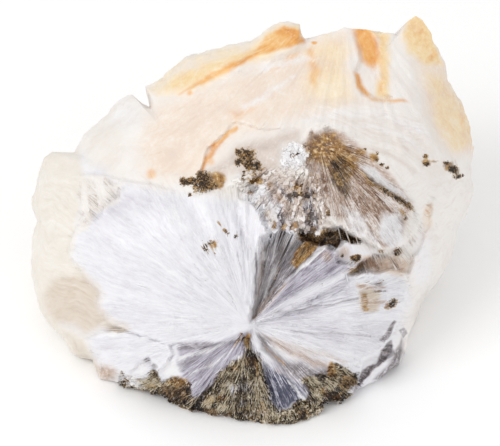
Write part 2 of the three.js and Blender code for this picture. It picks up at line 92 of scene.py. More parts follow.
# What stands proud of the face or lies back from it: middle, height there, the slope of that
# height along u and v where it isn't level, the width of the edge, the fan that ridges it and
# how much, and outline.
faceFeatures = dict(
    leftFan=dict(
        middle=(-10, 20), height=1, slope=(-0.11, -0.04), edge=0.35, fan="lower", ridge=0.35,
        outline=[-209, 311, -188, 312, -169, 306, -131, 301, -106, 295, -75, 288, -44, 289, -19, 296,
         -4, 294, 0, 278, 0, 238, 4, 188, 5, 144, 2, 125, -5, 118, -35, 108, -69, 100, -98, 104, -125, 112,
         -152, 120, -174, 131, -182, 144, -188, 156, -184, 169, -198, 181, -212, 196, -222, 209, -224, 219,
         -222, 234, -212, 250, -206, 262, -208, 288]),
    leftSteps=dict(
        middle=(-19, 28), height=-0.7, edge=0.3,
        outline=[-209, 311, -188, 311, -165, 304, -156, 294, -166, 281, -178, 275, -184, 262, -194, 250,
         -206, 250, -208, 281]),
    lowerLobe=dict(
        middle=(-15, 9), height=1.4, slope=(-0.05, 0), edge=0.35, fan="lower", ridge=0.3,
        outline=[-202, 109, -181, 118, -152, 119, -125, 111, -100, 104, -94, 91, -102, 79, -112, 71,
         -125, 86, -136, 81, -149, 68, -161, 66, -181, 71, -194, 86]),
    greyBundle=dict(
        middle=(-6, 8), height=0.2, slope=(-0.06, -0.12), edge=0.3, fan="lower", ridge=0.6,
        outline=[-95, 101, -62, 99, -35, 106, -9, 114, -11, 99, -28, 80, -41, 74, -56, 56, -72, 38,
         -79, 51, -84, 66, -95, 78]),
    darkValley=dict(
        middle=(3, 20), height=-2.6, slope=(0.15, -0.2), edge=0.9, fan="lower", ridge=0.5,
        outline=[1, 134, 5, 156, 8, 188, 10, 219, 15, 234, 28, 241, 44, 244, 62, 236, 75, 224, 62, 200,
         48, 185, 32, 171, 20, 154, 8, 139]),
    whiteSliver=dict(
        middle=(0.8, 22), height=0.9, slope=(0, 0.05), edge=0.3, fan="lower", ridge=0.3,
        outline=[-15, 281, 0, 278, 10, 262, 22, 244, 28, 234, 15, 229, 10, 212, 9, 194, 5, 156, 2, 134,
         -2, 156, 0, 206]),
    lilacBlade=dict(
        middle=(7, 19), height=1.7, slope=(0.02, 0.16), edge=0.25, fan="lower", ridge=0.4,
        outline=[4, 131, 20, 152, 42, 175, 62, 196, 90, 226, 104, 219, 108, 204, 125, 202, 135, 201,
         119, 190, 100, 176, 69, 156, 38, 141]),
    rightFan=dict(
        middle=(10, 13), height=0.9, slope=(0.1, 0.02), edge=0.3, fan="lower", ridge=0.5,
        outline=[5, 129, 38, 141, 69, 156, 100, 176, 119, 190, 145, 194, 178, 192, 192, 191, 198, 175,
         191, 156, 185, 134, 178, 116, 168, 96, 152, 86, 135, 79, 119, 74, 98, 74, 62, 89, 15, 100,
         2, 116]),
    brokenBlocks=dict(
        middle=(3, 28), height=0.3, slope=(0.05, 0.05), edge=0.4, fan="upper", ridge=0.9,
        outline=[-15, 291, -18, 304, -2, 312, 15, 319, 38, 319, 62, 321, 78, 312, 85, 296, 85, 275,
         80, 254, 72, 241, 60, 244, 44, 246, 25, 246, 10, 266, 0, 281]),
    druse=dict(
        middle=(5.6, 33.6), height=0.5, edge=0.4,
        outline=[39, 334, 46, 346, 58, 351, 70, 346, 74, 336, 69, 328, 60, 320, 48, 320, 39, 325]),
    brownFan=dict(
        middle=(13, 29), height=0.9, slope=(0.05, -0.16), edge=0.4, fan="upper", ridge=0.6,
        outline=[72, 344, 78, 361, 94, 369, 110, 365, 125, 349, 140, 324, 162, 300, 188, 281, 202, 269,
         208, 250, 198, 234, 182, 220, 162, 220, 144, 229, 125, 239, 106, 248, 90, 261, 85, 281, 80, 300,
         70, 319]),
    crevice=dict(
        middle=(9, 23.5), height=-2.6, edge=0.6,
        outline=[59, 246, 72, 242, 82, 232, 90, 239, 98, 246, 110, 246, 120, 239, 135, 230, 125, 228,
         116, 230, 109, 224, 101, 220, 94, 228, 82, 230, 70, 231, 60, 239]),
    recess=dict(
        middle=(18, 21), height=-1.6, slope=(0, 0.17), edge=0.5,
        outline=[118, 190, 130, 199, 140, 209, 152, 216, 172, 214, 190, 221, 202, 234, 212, 254, 218, 275,
         226, 279, 225, 254, 214, 231, 202, 211, 199, 191, 178, 192, 145, 194]),
    rimCrack=dict(
        middle=(17, 9), height=-2, edge=0.5,
        outline=[136, 62, 139, 75, 146, 82, 160, 85, 164, 94, 176, 99, 179, 90, 168, 80, 155, 71, 145, 60,
         138, 54]),
    rimLobe=dict(
        middle=(16, 7), height=0.5, slope=(0.1, 0), edge=0.5,
        outline=[125, 44, 145, 60, 155, 71, 170, 81, 179, 91, 185, 106, 196, 116, 194, 79, 175, 59,
         150, 44, 128, 34]),
    topBlade=dict(
        middle=(-3, 45), height=1.7, slope=(0.04, 0.1), edge=1.2,
        outline=[-134, 416, -106, 416, -88, 412, -72, 411, -56, 426, -35, 436, -12, 445, 12, 454, 44, 461,
         65, 469, 66, 484, 68, 509, 50, 516, 15, 499, -31, 479, -88, 466, -131, 434]),
    peachLedge=dict(
        middle=(0, 34), height=-0.6, edge=0.35,
        outline=[-64, 314, -59, 331, -50, 346, -35, 359, -18, 376, 15, 369, 60, 371, 62, 356, 44, 346,
         15, 344, -12, 344, -19, 325, -44, 316]),
    rightFacet=dict(
        middle=(23, 41), height=-1.2, slope=(-0.3, 0), edge=1.2,
        outline=[185, 496, 198, 456, 210, 406, 220, 381, 235, 356, 252, 331, 282, 321, 290, 356, 260, 444,
         231, 516, 200, 519]),
    orangeGroove=dict(
        middle=(15, 45), height=-1.2, edge=0.6,
        outline=[129, 501, 152, 496, 158, 469, 155, 449, 165, 412, 175, 409, 162, 401, 140, 411, 128, 438,
         135, 456]),
    matrixBand=dict(
        middle=(0, 5), height=-0.7, edge=0.5,
        outline=[-164, 44, -161, 64, -140, 59, -128, 61, -122, 71, -111, 56, -98, 60, -82, 54, -74, 49,
         -71, 34, -56, 44, -45, 54, -35, 71, -12, 84, -6, 111, 1, 106, 12, 89, 22, 59, 28, 31, 41, 20,
         59, 29, 71, 34, 68, 54, 80, 64, 98, 64, 110, 76, 135, 64, 132, 51, 120, 39, 112, 19, 62, -12,
         -62, -6, -138, 21]),
)

# Broken facets of the back and the sides: outward normal, and distance from the heart.
backFacets = [
    dict(normal=(0.1, 0.98, -0.05), distance=19.5),
    dict(normal=(-0.72, 0.66, -0.1), distance=26.2),
    dict(normal=(0.62, 0.76, 0.14), distance=27),
    dict(normal=(-0.12, 0.72, 0.69), distance=25),
    dict(normal=(0.3, 0.7, -0.65), distance=20),
]


def clamp01(x):
    return np.clip(x, 0, 1)


# A share of the way between two limits.
def between(limits, share):
    low, high = limits
    return low + (high - low) * share


# Vectors of the same directions, one long.
def unit(vectors):
    return vectors / np.linalg.norm(vectors, axis=-1, keepdims=True)


# x and y turned anticlockwise by degrees.
def turned(x, y, degrees):
    c, s = math.cos(math.radians(degrees)), math.sin(math.radians(degrees))
    return x * c - y * s, x * s + y * c


# 0 up to the start, 1 from the end on, and an s-curve between them.
def smoothStep(start, end, x):
    t = clamp01((x - start) / (end - start))
    return t * t * (3 - 2 * t)


# A fixed pseudo-random number from 0 to 1 for a lattice point: the fraction of a large sine.
def chance(i, j, k):
    wave = np.sin(i * 12.9898 + j * 78.233 + k * 37.719) * 43758.5453
    return wave - np.floor(wave)


# Smooth noise from -1 to 1: lattice chances, eased between the eight nearest points.
def noise(x, y, z):
    x, y, z = np.broadcast_arrays(x, y, z)
    i, j, k = np.floor(x), np.floor(y), np.floor(z)
    a, b, c = (t * t * (3 - 2 * t) for t in (x - i, y - j, z - k))
    total = 0
    for corner in range(8):
        p, q, r = corner & 1, corner >> 1 & 1, corner >> 2
        share = (a if p else 1 - a) * (b if q else 1 - b) * (c if r else 1 - c)
        total = total + share * chance(i + p, j + q, k + r)
    return 2 * total - 1


# Noise in layers, each with its swing and its size.
def layeredNoise(x, y, z, layers):
    return sum(swing * noise(x / size, y / size, z / size) for swing, size in layers)


# Face coordinates moved about by noise, so that outlines read there look ragged. Each layer
# has a swing, a size and the noise's places for u and for v.
def raggedPlace(u, v, layers):
    movedU, movedV = u, v
    for swing, size, placeU, placeV in layers:
        movedU = movedU + swing * noise(u / size, v / size, placeU)
        movedV = movedV + swing * noise(u / size, v / size, placeV)
    return movedU, movedV


def cornersOf(outline):
    return np.array(outline).reshape(-1, 2) / 10


# Signed distance to a closed outline, positive inside; far points are only marked as far.
def depthInside(outline, u, v, reach=4.0):
    corners = cornersOf(outline)
    low, high = corners.min(0) - reach, corners.max(0) + reach
    near = (u > low[0]) & (u < high[0]) & (v > low[1]) & (v < high[1])
    depth = np.full(u.shape, -reach)
    x, y = u[near], v[near]
    nearest = np.full(x.shape, np.inf)
    inside = np.zeros(x.shape, bool)
    for (x1, y1), (x0, y0) in zip(corners, np.roll(corners, 1, 0)):
        dx, dy = x1 - x0, y1 - y0
        along = clamp01(((x - x0) * dx + (y - y0) * dy) / (dx * dx + dy * dy))
        nearest = np.minimum(nearest, np.hypot(x - x0 - along * dx, y - y0 - along * dy))
        if dy != 0:
            inside ^= ((y0 > y) != (y1 > y)) & (x < x0 + (y - y0) / dy * dx)
    depth[near] = np.maximum(np.where(inside, nearest, -nearest), -reach)
    return depth


heartU, heartV = stoneForm["heart"][:2]
rimOffsets = cornersOf(rimOutline) - (heartU, heartV)
rimTurns = np.arctan2(rimOffsets[:, 1], rimOffsets[:, 0])
rimOrder = np.argsort(rimTurns)
rimTurns, rimReaches = rimTurns[rimOrder], np.hypot(*rimOffsets[rimOrder].T)


# Distance of the rim from the heart, square on, read by turn between the outline's points.
def rimReach(turn):
    return np.interp(turn, rimTurns, rimReaches, period=2 * math.pi)


# The same distance with its notches smoothed away: its first few harmonics.
def smoothReach(turn):
    samples = np.arange(360) * 2 * math.pi / 360 - math.pi
    reaches = rimReach(samples)
    total = np.full(np.shape(turn), reaches.mean())
    for order in range(1, stoneForm["rimHarmonics"]):
        cosine = 2 * (reaches * np.cos(order * samples)).mean()
        sine = 2 * (reaches * np.sin(order * samples)).mean()
        total = total + cosine * np.cos(order * turn) + sine * np.sin(order * turn)
    return total


# The rim's w at each v: it climbs from the base at the front to the stone's top at the back,
# by a power of the share of the face's rise.
def rimDepth(v):
    share = np.maximum(v, 0) / stoneForm["faceRise"]
    climb = stoneForm["height"] * share ** stoneForm["rimClimb"]
    return (climb - v * leanCos) / leanSin


# Each broad plane of the face: its height, its slope along v and the v where it has that height.
facePlanes = dict(lower=(2.5, 0.32, 3), upper=(8.2, -0.4, 27), blunt=1.2, crown=0.006)


# Two broad planes meet in a blunt ridge across the face, which is a little crowned.
def facePlane(u, v):
    lower, upper = (
        height + slope * (v - level)
        for height, slope, level in (facePlanes["lower"], facePlanes["upper"]))
    blunt = facePlanes["blunt"]
    return -blunt * np.logaddexp(-lower / blunt, -upper / blunt) - facePlanes["crown"] * u * u


# The ridges of a fan, in three sizes from coarse to fine.
ridges = dict(
    share=(1, 0.5, 0.25), length=(9, 5, 3), seed=(1, 2, 3),
    step=(9, 3.1, 1.2), topStep=(7, 2.3, 1.0),  # degrees from ridge to ridge
    drift=0.3, driftSize=(5, 20),  # how far noise bends them, in steps, and the noise's size
    flank=1.5,  # steepness of the flanks between ridges
    snapFrom=0.72, snapStep=0.5,  # chance above which a needle has snapped, and the step there
    snapRate=(1.37, 1.1),  # snapped pieces for each ridge across and for each length along
    snapShift=5, snapSkew=0.5,  # how far along their ends are shifted and skewed, in pieces
    grown=8,  # distance from the centre at which they have their full height
)


# Needles round a growth centre: heights by chance for each turn step, eased across the
# steps and along each needle, with a sparse, abrupt step where a needle has snapped.
def blades(fan, u, v, step, length, seed):
    du, dv = u - growthCentres[fan][0], v - growthCentres[fan][1]
    far, turn = np.hypot(du, dv), np.degrees(np.arctan2(dv, du))
    place = (turn + 360) / step + ridges["drift"] * noise(
        far / ridges["driftSize"][0], turn / ridges["driftSize"][1], seed + 0.5)
    i = np.floor(place)
    across = clamp01((place - i - 0.5) * ridges["flank"] + 0.5)
    j = np.floor(far / length)
    along = smoothStep(0, 1, far / length - j)
    near = (1 - along) * chance(i, j, seed) + along * chance(i, j + 1, seed)
    beside = (1 - along) * chance(i + 1, j, seed) + along * chance(i + 1, j + 1, seed)
    rateAcross, rateAlong = ridges["snapRate"]
    shifted = place * rateAcross + 0.5
    i = np.floor(shifted)
    k = np.floor(far / length * rateAlong + ridges["snapShift"] * chance(i, seed, 1)
                 + ridges["snapSkew"] * (shifted - i))
    snapped = np.where(chance(i, k, seed + 4) > ridges["snapFrom"], chance(i, k, seed + 5), 0)
    height = 2 * ((1 - across) * near + across * beside) - 1 + ridges["snapStep"] * snapped
    return height * clamp01(far / ridges["grown"])


# Lumps on some features: their size, and how far they rise and fall.
lumps = dict(brownFan=(0.9, 0.16), druse=(0.35, 0.2), brokenBlocks=(0.7, 0.18), recess=(0.8, 0.25),
             matrixBand=(0.6, 0.3))
columns = dict(width=1.1, lean=0.12, length=2.6, swing=0.9)  # of the blocky corner at the left
raggedEdges = [(0.45, 2.2, 3.5, 9.5), (0.18, 0.7, 13.5, 19.5)]
upperFace = dict(start=31, full=35, ridge=0.3)  # where the top fan ridges the bare face
faceGrain = dict(swing=0.05, size=0.5, place=4.5)
lumpPlace = 51.5  # the noise's third coordinate for lumps


# Height of the broken face over its reference plane: the broad planes, each feature's
# tilted step, the needles of its fan, columns in the blocky corner, lumps and fine grain.
def faceHeight(u, v):
    raggedU, raggedV = raggedPlace(u, v, raggedEdges)
    height, covered = facePlane(u, v), np.zeros_like(u)
    relief = {}
    for fan in growthCentres:
        steps, seedShift = (ridges["topStep"], 3) if fan == "top" else (ridges["step"], 0)
        sizes = zip(ridges["share"], steps, ridges["length"], ridges["seed"])
        relief[fan] = sum(
            share * blades(fan, u, v, step, length, seed + seedShift)
            for share, step, length, seed in sizes)
    for name, feature in faceFeatures.items():
        depth = depthInside(feature["outline"], raggedU, raggedV)
        share = smoothStep(-feature["edge"] / 2, feature["edge"] / 2, depth)
        middle, slope = feature["middle"], feature.get("slope", (0, 0))
        height = height + share * (
            feature["height"] + slope[0] * (u - middle[0]) + slope[1] * (v - middle[1]))
        if "fan" in feature:
            height = height + share * feature["ridge"] * relief[feature["fan"]]
        if name == "leftSteps":
            column = np.floor((u + columns["lean"] * v) / columns["width"])
            row = np.floor(v / columns["length"] + chance(column, 2, 7))
            height = height + share * columns["swing"] * (chance(column, row, 5) - 0.5)
        if name in lumps:
            size, swing = lumps[name]
            height = height + share * swing * noise(u / size, v / size, lumpPlace)
        covered = np.maximum(covered, share)
    upper = smoothStep(upperFace["start"], upperFace["full"], v) * (1 - covered)
    grain = faceGrain["size"]
    fine = faceGrain["swing"] * noise(u / grain, v / grain, faceGrain["place"])
    return height + upper * upperFace["ridge"] * relief["top"] + fine


# From the face frame to the part's: turned back about the x axis by the lean.
def leanBack(u, v, w):
    return np.stack([u, v * leanSin - w * leanCos, v * leanCos + w * leanSin], -1)


heartPoint = leanBack(*stoneForm["heart"])
knobIndex = np.arange(stoneForm["knobCount"])
knobAlong = 1 - 2 * (knobIndex + 0.5) / stoneForm["knobCount"]
knobRound = np.sqrt(1 - knobAlong**2)
knobTurn = knobIndex * math.pi * (3 - math.sqrt(5))
knobPlaces = np.stack([knobRound * np.cos(knobTurn), knobRound * np.sin(knobTurn), knobAlong], -1)
smallestKnob, knobSpread = stoneForm["knobSize"]
knobSizes = smallestKnob + knobSpread * chance(knobIndex, 1, 1)


# Rounded knobs of the outer skin: the tallest of the domes that a direction meets.
def knobHeight(direction):
    height = np.zeros(len(direction))
    for place, size in zip(knobPlaces, knobSizes):
        apart = np.arccos(np.clip(direction @ place, -1, 1))
        off = apart / (math.radians(stoneForm["knobAngle"]) * size)
        height = np.maximum(height, size * np.sqrt(clamp01(1 - off * off)))
    return height * stoneForm["knobHeight"]


# Pulls points that lie outside a facet straight towards the heart until they are on it.
def cutByFacet(fromHeart, normal, distance):
    out = fromHeart @ normal
    return fromHeart * np.where(out > distance, distance / np.maximum(out, distance), 1)[:, None]


skinRoughness = [(0.35, 3), (0.16, 1.1), (0.08, 0.5)]


# The stone's surface by opening (0 at the face's middle, 90 degrees at the rim, 180 at the
# back) and turn round the heart: the face crowned down to the rim in front, a bulge behind
# it, cut by the facets, knobbed on its skin and flat below. Returns points and skin share.
def stoneSurface(opening, turn):
    ring, behind = np.sin(opening), opening > math.pi / 2
    evenRim = smoothReach(turn)
    reach = ring * (evenRim + (rimReach(turn) - evenRim) * ring ** stoneForm["rimPull"])
    u, v = heartU + reach * np.cos(turn), heartV + reach * np.sin(turn)
    rimW = rimDepth(heartV + evenRim * np.sin(turn))
    crown = np.where(opening < math.pi / 2, np.sqrt(clamp01(1 - ring ** stoneForm["crownPower"])), 0)
    front = rimW + (faceHeight(u, v) - rimW) * crown
    bulge = clamp01(-np.cos(opening)) ** stoneForm["backPower"]
    back = rimW - (stoneForm["backBulge"] + rimW / 2) * bulge
    fromHeart = leanBack(u, v, np.where(opening < math.pi / 2, front, back)) - heartPoint
    for facet in backFacets:
        fromHeart = cutByFacet(fromHeart, unit(np.array(facet["normal"])), facet["distance"])
    outward = unit(fromHeart)
    skin = 1 - smoothStep(*stoneForm["skinCrown"], crown)
    x, y, z = fromHeart.T
    crust = crustShare(u, v, skin, (fromHeart + heartPoint)[:, 2])
    rough = layeredNoise(x, y, z, skinRoughness) * skin
    rough = rough + crust * crustForm["swing"] * layeredNoise(x, y, z, [(1, crustForm["size"])])
    atRim = stoneForm["knobAtRim"]
    knobShare = atRim + (1 - atRim) * np.where(behind, smoothStep(0, stoneForm["knobFull"], 1 - ring), 0)
    knobSwell = knobShare * (knobHeight(outward) - stoneForm["knobHeight"] / 2)
    swell = skin * knobSwell + rough
    fromHeart = cutByFacet(fromHeart + outward * swell[:, None], np.array([0, 0, -1.0]), heartPoint[2])
    points = fromHeart + heartPoint
    rimU, rimV = heartU + rimReach(turn) * np.cos(turn), heartV + rimReach(turn) * np.sin(turn)
    seenU, seenV = seenPlace(np.where(behind[:, None], leanBack(rimU, rimV, rimW), points))
    place = dict(
        u=seenU, v=seenV, skin=skin,
        reachesBack=np.where(behind, smoothStep(*stoneForm["reachBack"], ring), 1))
    return points, place


# Colour areas of the face as the camera sees them: how much of the finish there is, how softly
# the area ends in millimetres, and its outline.
colourAreas = dict(
    pearl=[
        (1, 0.5, [-212, 314, -182, 311, -159, 302, -162, 279, -188, 264, -202, 246, -215, 239]),
        (1, 1.25, [-225, 356, -162, 302, -62, 286, -9, 281, 15, 304, 62, 246, 128, 231, 188, 194, 202, 156,
         185, 99, 192, 66, 238, 119, 294, 281, 294, 419, 212, 531, 0, 519, -138, 444]),
    ],
    cream=[
        (1, 1, [-288, 344, -212, 349, -208, 309, -222, 211, -200, 179, -222, 156, -238, 125, -208, 110,
         -190, 79, -188, 51, -288, 106]),
        (0.5, 2, [-225, 344, -200, 388, -148, 419, -125, 401, -152, 344, -158, 304, -208, 310]),
    ],
    tan=[
        (0.8, 1.12, [-248, 186, -219, 194, -190, 179, -182, 166, -185, 150, -172, 134, -152, 122,
         -182, 118, -208, 109, -225, 121, -248, 125, -260, 146, -258, 169]),
        (0.6, 0.75, [-238, 119, -208, 109, -200, 91, -188, 76, -165, 66, -160, 51, -188, 51, -215, 81]),
        (0.9, 0.25, [-185, 121, -172, 126, -150, 121, -165, 118]),
        (0.8, 0.38, [135, 170, 152, 172, 164, 162, 159, 141, 139, 140]),
    ],
    peach=[
        (0.66, 1.75, [-145, 344, -135, 379, -122, 401, -44, 434, 15, 454, 100, 494, 132, 496, 128, 444,
         135, 416, 162, 404, 112, 394, -18, 354, -48, 326, -59, 306, -112, 301, -138, 321]),
        (0.7, 1.25, [188, 486, 188, 514, 210, 524, 230, 514, 238, 471, 252, 441, 278, 406, 290, 362,
         290, 331, 252, 334, 232, 354, 218, 391, 208, 438]),
        # painted light: pale peach in the recess's groove, laid lighter than the stone to offset the
        # groove's shade
        (0.7, 0.25, [218, 275, 231, 279, 230, 254, 224, 241, 214, 204, 205, 204, 215, 241]),
        # painted light: pale peach under the recess's mauve, laid lighter than the stone to offset the
        # recess's shade
        (0.9, 0.5, [140, 210, 188, 210, 200, 204, 192, 186, 145, 195]),
    ],
    butter=[
        (0.5, 0.75, [-130, 411, -130, 421, -105, 449, -85, 462, -6, 481, 15, 492, -12, 456, -68, 426,
         -100, 414]),
        (0.9, 1, [-115, 416, -98, 439, 0, 475, 35, 501, 65, 504, 65, 480, 15, 456, -18, 448, -45, 435,
         -68, 420, -100, 414]),
        (0.5, 1.75, [62, 475, 100, 489, 128, 491, 128, 406, 100, 401, 62, 411]),
        (0.9, 0.75, [155, 496, 175, 489, 175, 409, 155, 409, 160, 444]),
        (0.9, 0.62, [190, 486, 195, 514, 212, 519, 230, 501, 235, 469, 242, 449, 220, 451, 198, 466]),
        (0.6, 0.62, [255, 409, 282, 409, 290, 351, 262, 356]),
        (0.6, 1, [218, 441, 245, 436, 282, 391, 290, 346, 252, 341, 230, 376]),
    ],
    orange=[
        (0.95, 0.44, [-88, 414, 19, 464, 70, 478, 66, 486, 44, 480, -6, 460, -56, 435]),
        (0.6, 1, [-44, 439, 15, 474, 62, 489, 66, 479, 19, 464, -19, 446]),
        (1, 0.5, [5, 466, 20, 484, 42, 499, 64, 496, 64, 479, 38, 469]),
        (0.9, 0.88, [126, 504, 150, 504, 160, 479, 164, 456, 154, 444, 142, 454, 132, 474]),
        (0.8, 0.38, [128, 441, 138, 439, 142, 424, 152, 411, 145, 409, 132, 421]),
        (0.7, 0.38, [145, 411, 168, 406, 192, 408, 200, 402, 172, 401, 148, 405]),
        (0.52, 0.62, [70, 469, 78, 476, 90, 444, 82, 416, 72, 431]),
        (0.5, 0.75, [-35, 391, -2, 401, 15, 396, -18, 381]),
        (0.5, 0.62, [158, 481, 168, 476, 168, 416, 160, 416]),
        (0.7, 0.25, [-62, 318, -58, 338, -48, 350, -16, 376, -14, 371, -42, 344, -52, 331, -58, 316]),
    ],
    lilac=[
        (0.45, 1.75, [-190, 266, -160, 299, -125, 299, -106, 275, -138, 266, -165, 254, -198, 231,
         -205, 241]),
        (0.85, 0.62, [5, 131, 31, 164, 90, 226, 108, 219, 118, 204, 128, 196, 88, 179]),
        (0.6, 1.5, [8, 129, 100, 179, 128, 186, 128, 156, 38, 131]),
        (0.5, 0.75, [20, 224, 42, 231, 55, 211, 42, 186, 22, 169, 15, 194]),
        (0.9, 0.5, [-88, 101, -68, 105, -44, 102, 2, 121, 2, 99, -12, 74, -32, 54, -55, 36, -75, 32,
         -82, 46, -90, 81]),
        (0.7, 0.5, [15, 86, 50, 71, 72, 51, 72, 34, 38, 54]),
        (0.52, 0.75, [8, 131, 62, 156, 106, 161, 100, 141, 62, 129, 15, 124]),
        (0.4, 1.5, [15, 125, 100, 134, 178, 129, 169, 100, 100, 91, 38, 106]),
    ],
    mauve=[
        (0.5, 0.5, [125, 356, 175, 344, 212, 316, 205, 311, 172, 336, 125, 350]),
        (0.36, 1.75, [62, 384, 100, 401, 162, 401, 218, 386, 238, 344, 262, 319, 238, 300, 200, 319,
         162, 344, 125, 359, 88, 379]),
        (0.52, 1, [-18, 354, 62, 376, 70, 369, 65, 350, 42, 346, 40, 319, 72, 316, 80, 294, 100, 261,
         100, 244, 38, 244, 25, 262, 15, 294, -5, 311, -22, 309, -30, 294, -56, 286, -59, 316]),
        (0.9, 0.62, [65, 351, 78, 366, 102, 370, 125, 360, 180, 309, 202, 274, 192, 241, 168, 219, 95, 266,
         80, 294, 70, 325]),
        (0.55, 0.62, [128, 204, 150, 212, 202, 209, 192, 184, 162, 190, 138, 191]),
        (0.45, 0.75, [5, 116, 100, 94, 112, 84, 62, 76, 25, 94]),
        (0.6, 0.25, [6, 156, 10, 194, 15, 224, 22, 226, 19, 194, 11, 156]),
        (0.5, 0.25, [30, 204, 40, 231, 50, 234, 40, 204, 25, 174]),
        (0.9, 0.19, [2, 134, 15, 156, 42, 180, 46, 174, 20, 149, 5, 131]),
        (0.8, 0.19, [132, 178, 170, 172, 170, 169, 132, 171]),
        (0.75, 0.19, [135, 159, 168, 155, 168, 151, 135, 152]),
        (0.62, 0.38, [15, 299, 62, 311, 82, 306, 85, 281, 62, 266, 45, 251, 28, 274]),
        (0.62, 0.5, [15, 114, 108, 74, 100, 64, 58, 81, 18, 104]),
        (0.5, 0.19, [15, 114, 125, 79, 120, 74, 15, 106]),
    ],
    grey=[
        (0.5, 0.19, [-166, 299, -162, 299, -166, 280, -170, 281]),
        # painted shade: blue-grey on the rim lobe beside the rim crack
        (0.6, 0.38, [150, 51, 170, 59, 185, 79, 192, 99, 200, 91, 192, 66, 175, 49, 155, 39]),
        # dark grey over the deep valley: partly the grey of its fibres, partly painted shade in the valley
        (0.62, 0.62, [2, 136, 15, 226, 28, 236, 62, 234, 75, 224, 42, 176, 22, 154]),
        (0.8, 0.12, [2, 132, 52, 194, 90, 230, 92, 228, 55, 190, 8, 136]),
        (0.5, 0.12, [-18, 219, -15, 219, -8, 169, -10, 169]),
        (0.5, 0.12, [-30, 170, -26, 170, -15, 141, -18, 141]),
        (0.6, 0.12, [6, 216, 10, 216, 8, 161, 4, 161]),
        (0.55, 0.25, [-92, 104, -45, 104, -45, 94, -92, 91]),
        # painted shade: dark grey filling the rim crack
        (1, 0.25, [131, 41, 136, 59, 142, 71, 158, 80, 165, 94, 176, 106, 179, 94, 170, 82, 158, 72]),
        (0.8, 0.15, [28, 301, 32, 304, 55, 281, 50, 278]),
        # painted shadow: a dark grey patch among the broken blocks
        (1, 0.38, [65, 276, 78, 279, 88, 244, 70, 244]),
        (0.75, 0.25, [30, 278, 38, 276, 48, 241, 39, 236]),
        (0.7, 0.31, [72, 299, 85, 294, 85, 279, 72, 281]),
        (0.6, 0.38, [-5, 299, 10, 301, 15, 286, 0, 284]),
        (0.5, 0.19, [50, 120, 152, 114, 152, 109, 50, 116]),
        (0.52, 0.19, [15, 138, 138, 161, 138, 156, 15, 134]),
        (0.62, 0.5, [4, 119, 85, 51, 68, 49, 35, 71, 10, 94]),
        # painted shade: a thin grey line where the rim crack runs on up the face
        (0.75, 0.19, [161, 105, 178, 131, 182, 129, 178, 115, 169, 102]),
        (0.62, 0.12, [186, 119, 192, 125, 196, 116, 190, 106]),
        (0.6, 0.5, [8, 121, 25, 106, 32, 86, 18, 94, 6, 109]),
        (0.72, 0.75, [28, 86, 69, 79, 108, 66, 95, 44, 68, 46, 40, 66]),
        # painted shade: grey on the rim lobe along the rim crack
        (0.75, 0.38, [152, 56, 169, 74, 182, 94, 189, 111, 194, 94, 185, 74, 168, 54]),
    ],
    ochre=[
        (0.9, 0.25, [90, 234, 70, 231, 58, 221, 50, 204, 58, 195, 86, 224]),
        (0.68, 0.75, [65, 351, 79, 366, 105, 368, 128, 349, 142, 331, 132, 309, 112, 299, 75, 329]),
        (0.56, 0.19, [138, 166, 148, 165, 149, 142, 139, 141]),
        (0.6, 0.25, [115, 190, 128, 200, 140, 206, 150, 196, 140, 190]),
        (0.62, 0.38, [15, 284, 22, 281, 32, 254, 22, 249]),
        (0.62, 0.25, [48, 301, 60, 304, 62, 292, 50, 292]),
        (0.56, 0.31, [10, 106, 32, 91, 52, 71, 45, 71, 22, 89]),
    ],
    umber=[
        (0.6, 0.12, [8, 156, 24, 231, 26, 231, 10, 156]),
        (0.55, 0.12, [20, 161, 45, 224, 48, 222, 41, 201, 24, 160]),
        (0.52, 0.12, [152, 169, 178, 166, 178, 164, 152, 165]),
        (0.6, 0.12, [142, 181, 168, 176, 168, 174, 142, 178]),
        (0.6, 0.88, [92, 334, 118, 339, 130, 316, 128, 284, 118, 274, 105, 291]),
        (0.6, 0.38, [140, 319, 185, 294, 205, 272, 198, 268, 178, 279, 142, 306]),
        (0.5, 0.19, [149, 208, 155, 209, 165, 196, 162, 192, 152, 201]),
        (0.6, 0.19, [-75, 35, -44, 52, -41, 49, -72, 31]),
        (0.8, 0.25, [-109, 55, -92, 51, -74, 52, -74, 24, -98, 29, -112, 39]),
        # dark brown over the crevice: partly the stone's brown, partly painted shade in the cavity
        (0.95, 0.15, [59, 246, 70, 239, 79, 245, 85, 236, 94, 246, 102, 240, 112, 248, 125, 236, 140, 229,
         128, 226, 118, 230, 109, 221, 99, 228, 89, 224, 78, 231, 66, 230]),
    ],
    slate=[
        (0.78, 0.5, [15, 79, 40, 66, 62, 50, 70, 34, 60, 30, 50, 21, 38, 21, 28, 31, 18, 61]),
    ],
    white=[
        (0.7, 0.12, [16, 156, 28, 204, 32, 231, 35, 231, 31, 204, 20, 156]),
        (0.75, 0.5, [131, 331, 152, 326, 182, 301, 205, 274, 192, 276, 168, 296, 142, 311]),
        (0.85, 0.75, [165, 264, 185, 268, 195, 249, 192, 228, 180, 218, 169, 224, 160, 241]),
        (0.66, 0.5, [110, 275, 138, 271, 168, 219, 128, 236]),
        (0.58, 0.88, [62, 384, 112, 396, 169, 394, 219, 374, 238, 351, 168, 381, 112, 384, 65, 374]),
        (0.56, 0.5, [100, 376, 152, 379, 200, 361, 232, 334, 225, 331, 195, 354, 150, 371, 102, 370]),
        (0.52, 0.62, [8, 449, 62, 464, 100, 459, 15, 436]),
        (0.52, 0.62, [-18, 399, 62, 444, 68, 436, 25, 406, -8, 389]),
        (0.52, 0.38, [10, 301, 20, 299, 38, 276, 28, 241, 18, 251, 5, 271, 0, 286]),
        (0.52, 0.38, [-10, 309, 2, 304, 0, 281, 20, 234, 2, 254, -12, 286]),
        (0.7, 0.25, [-18, 316, -6, 314, -8, 308, -15, 309]),
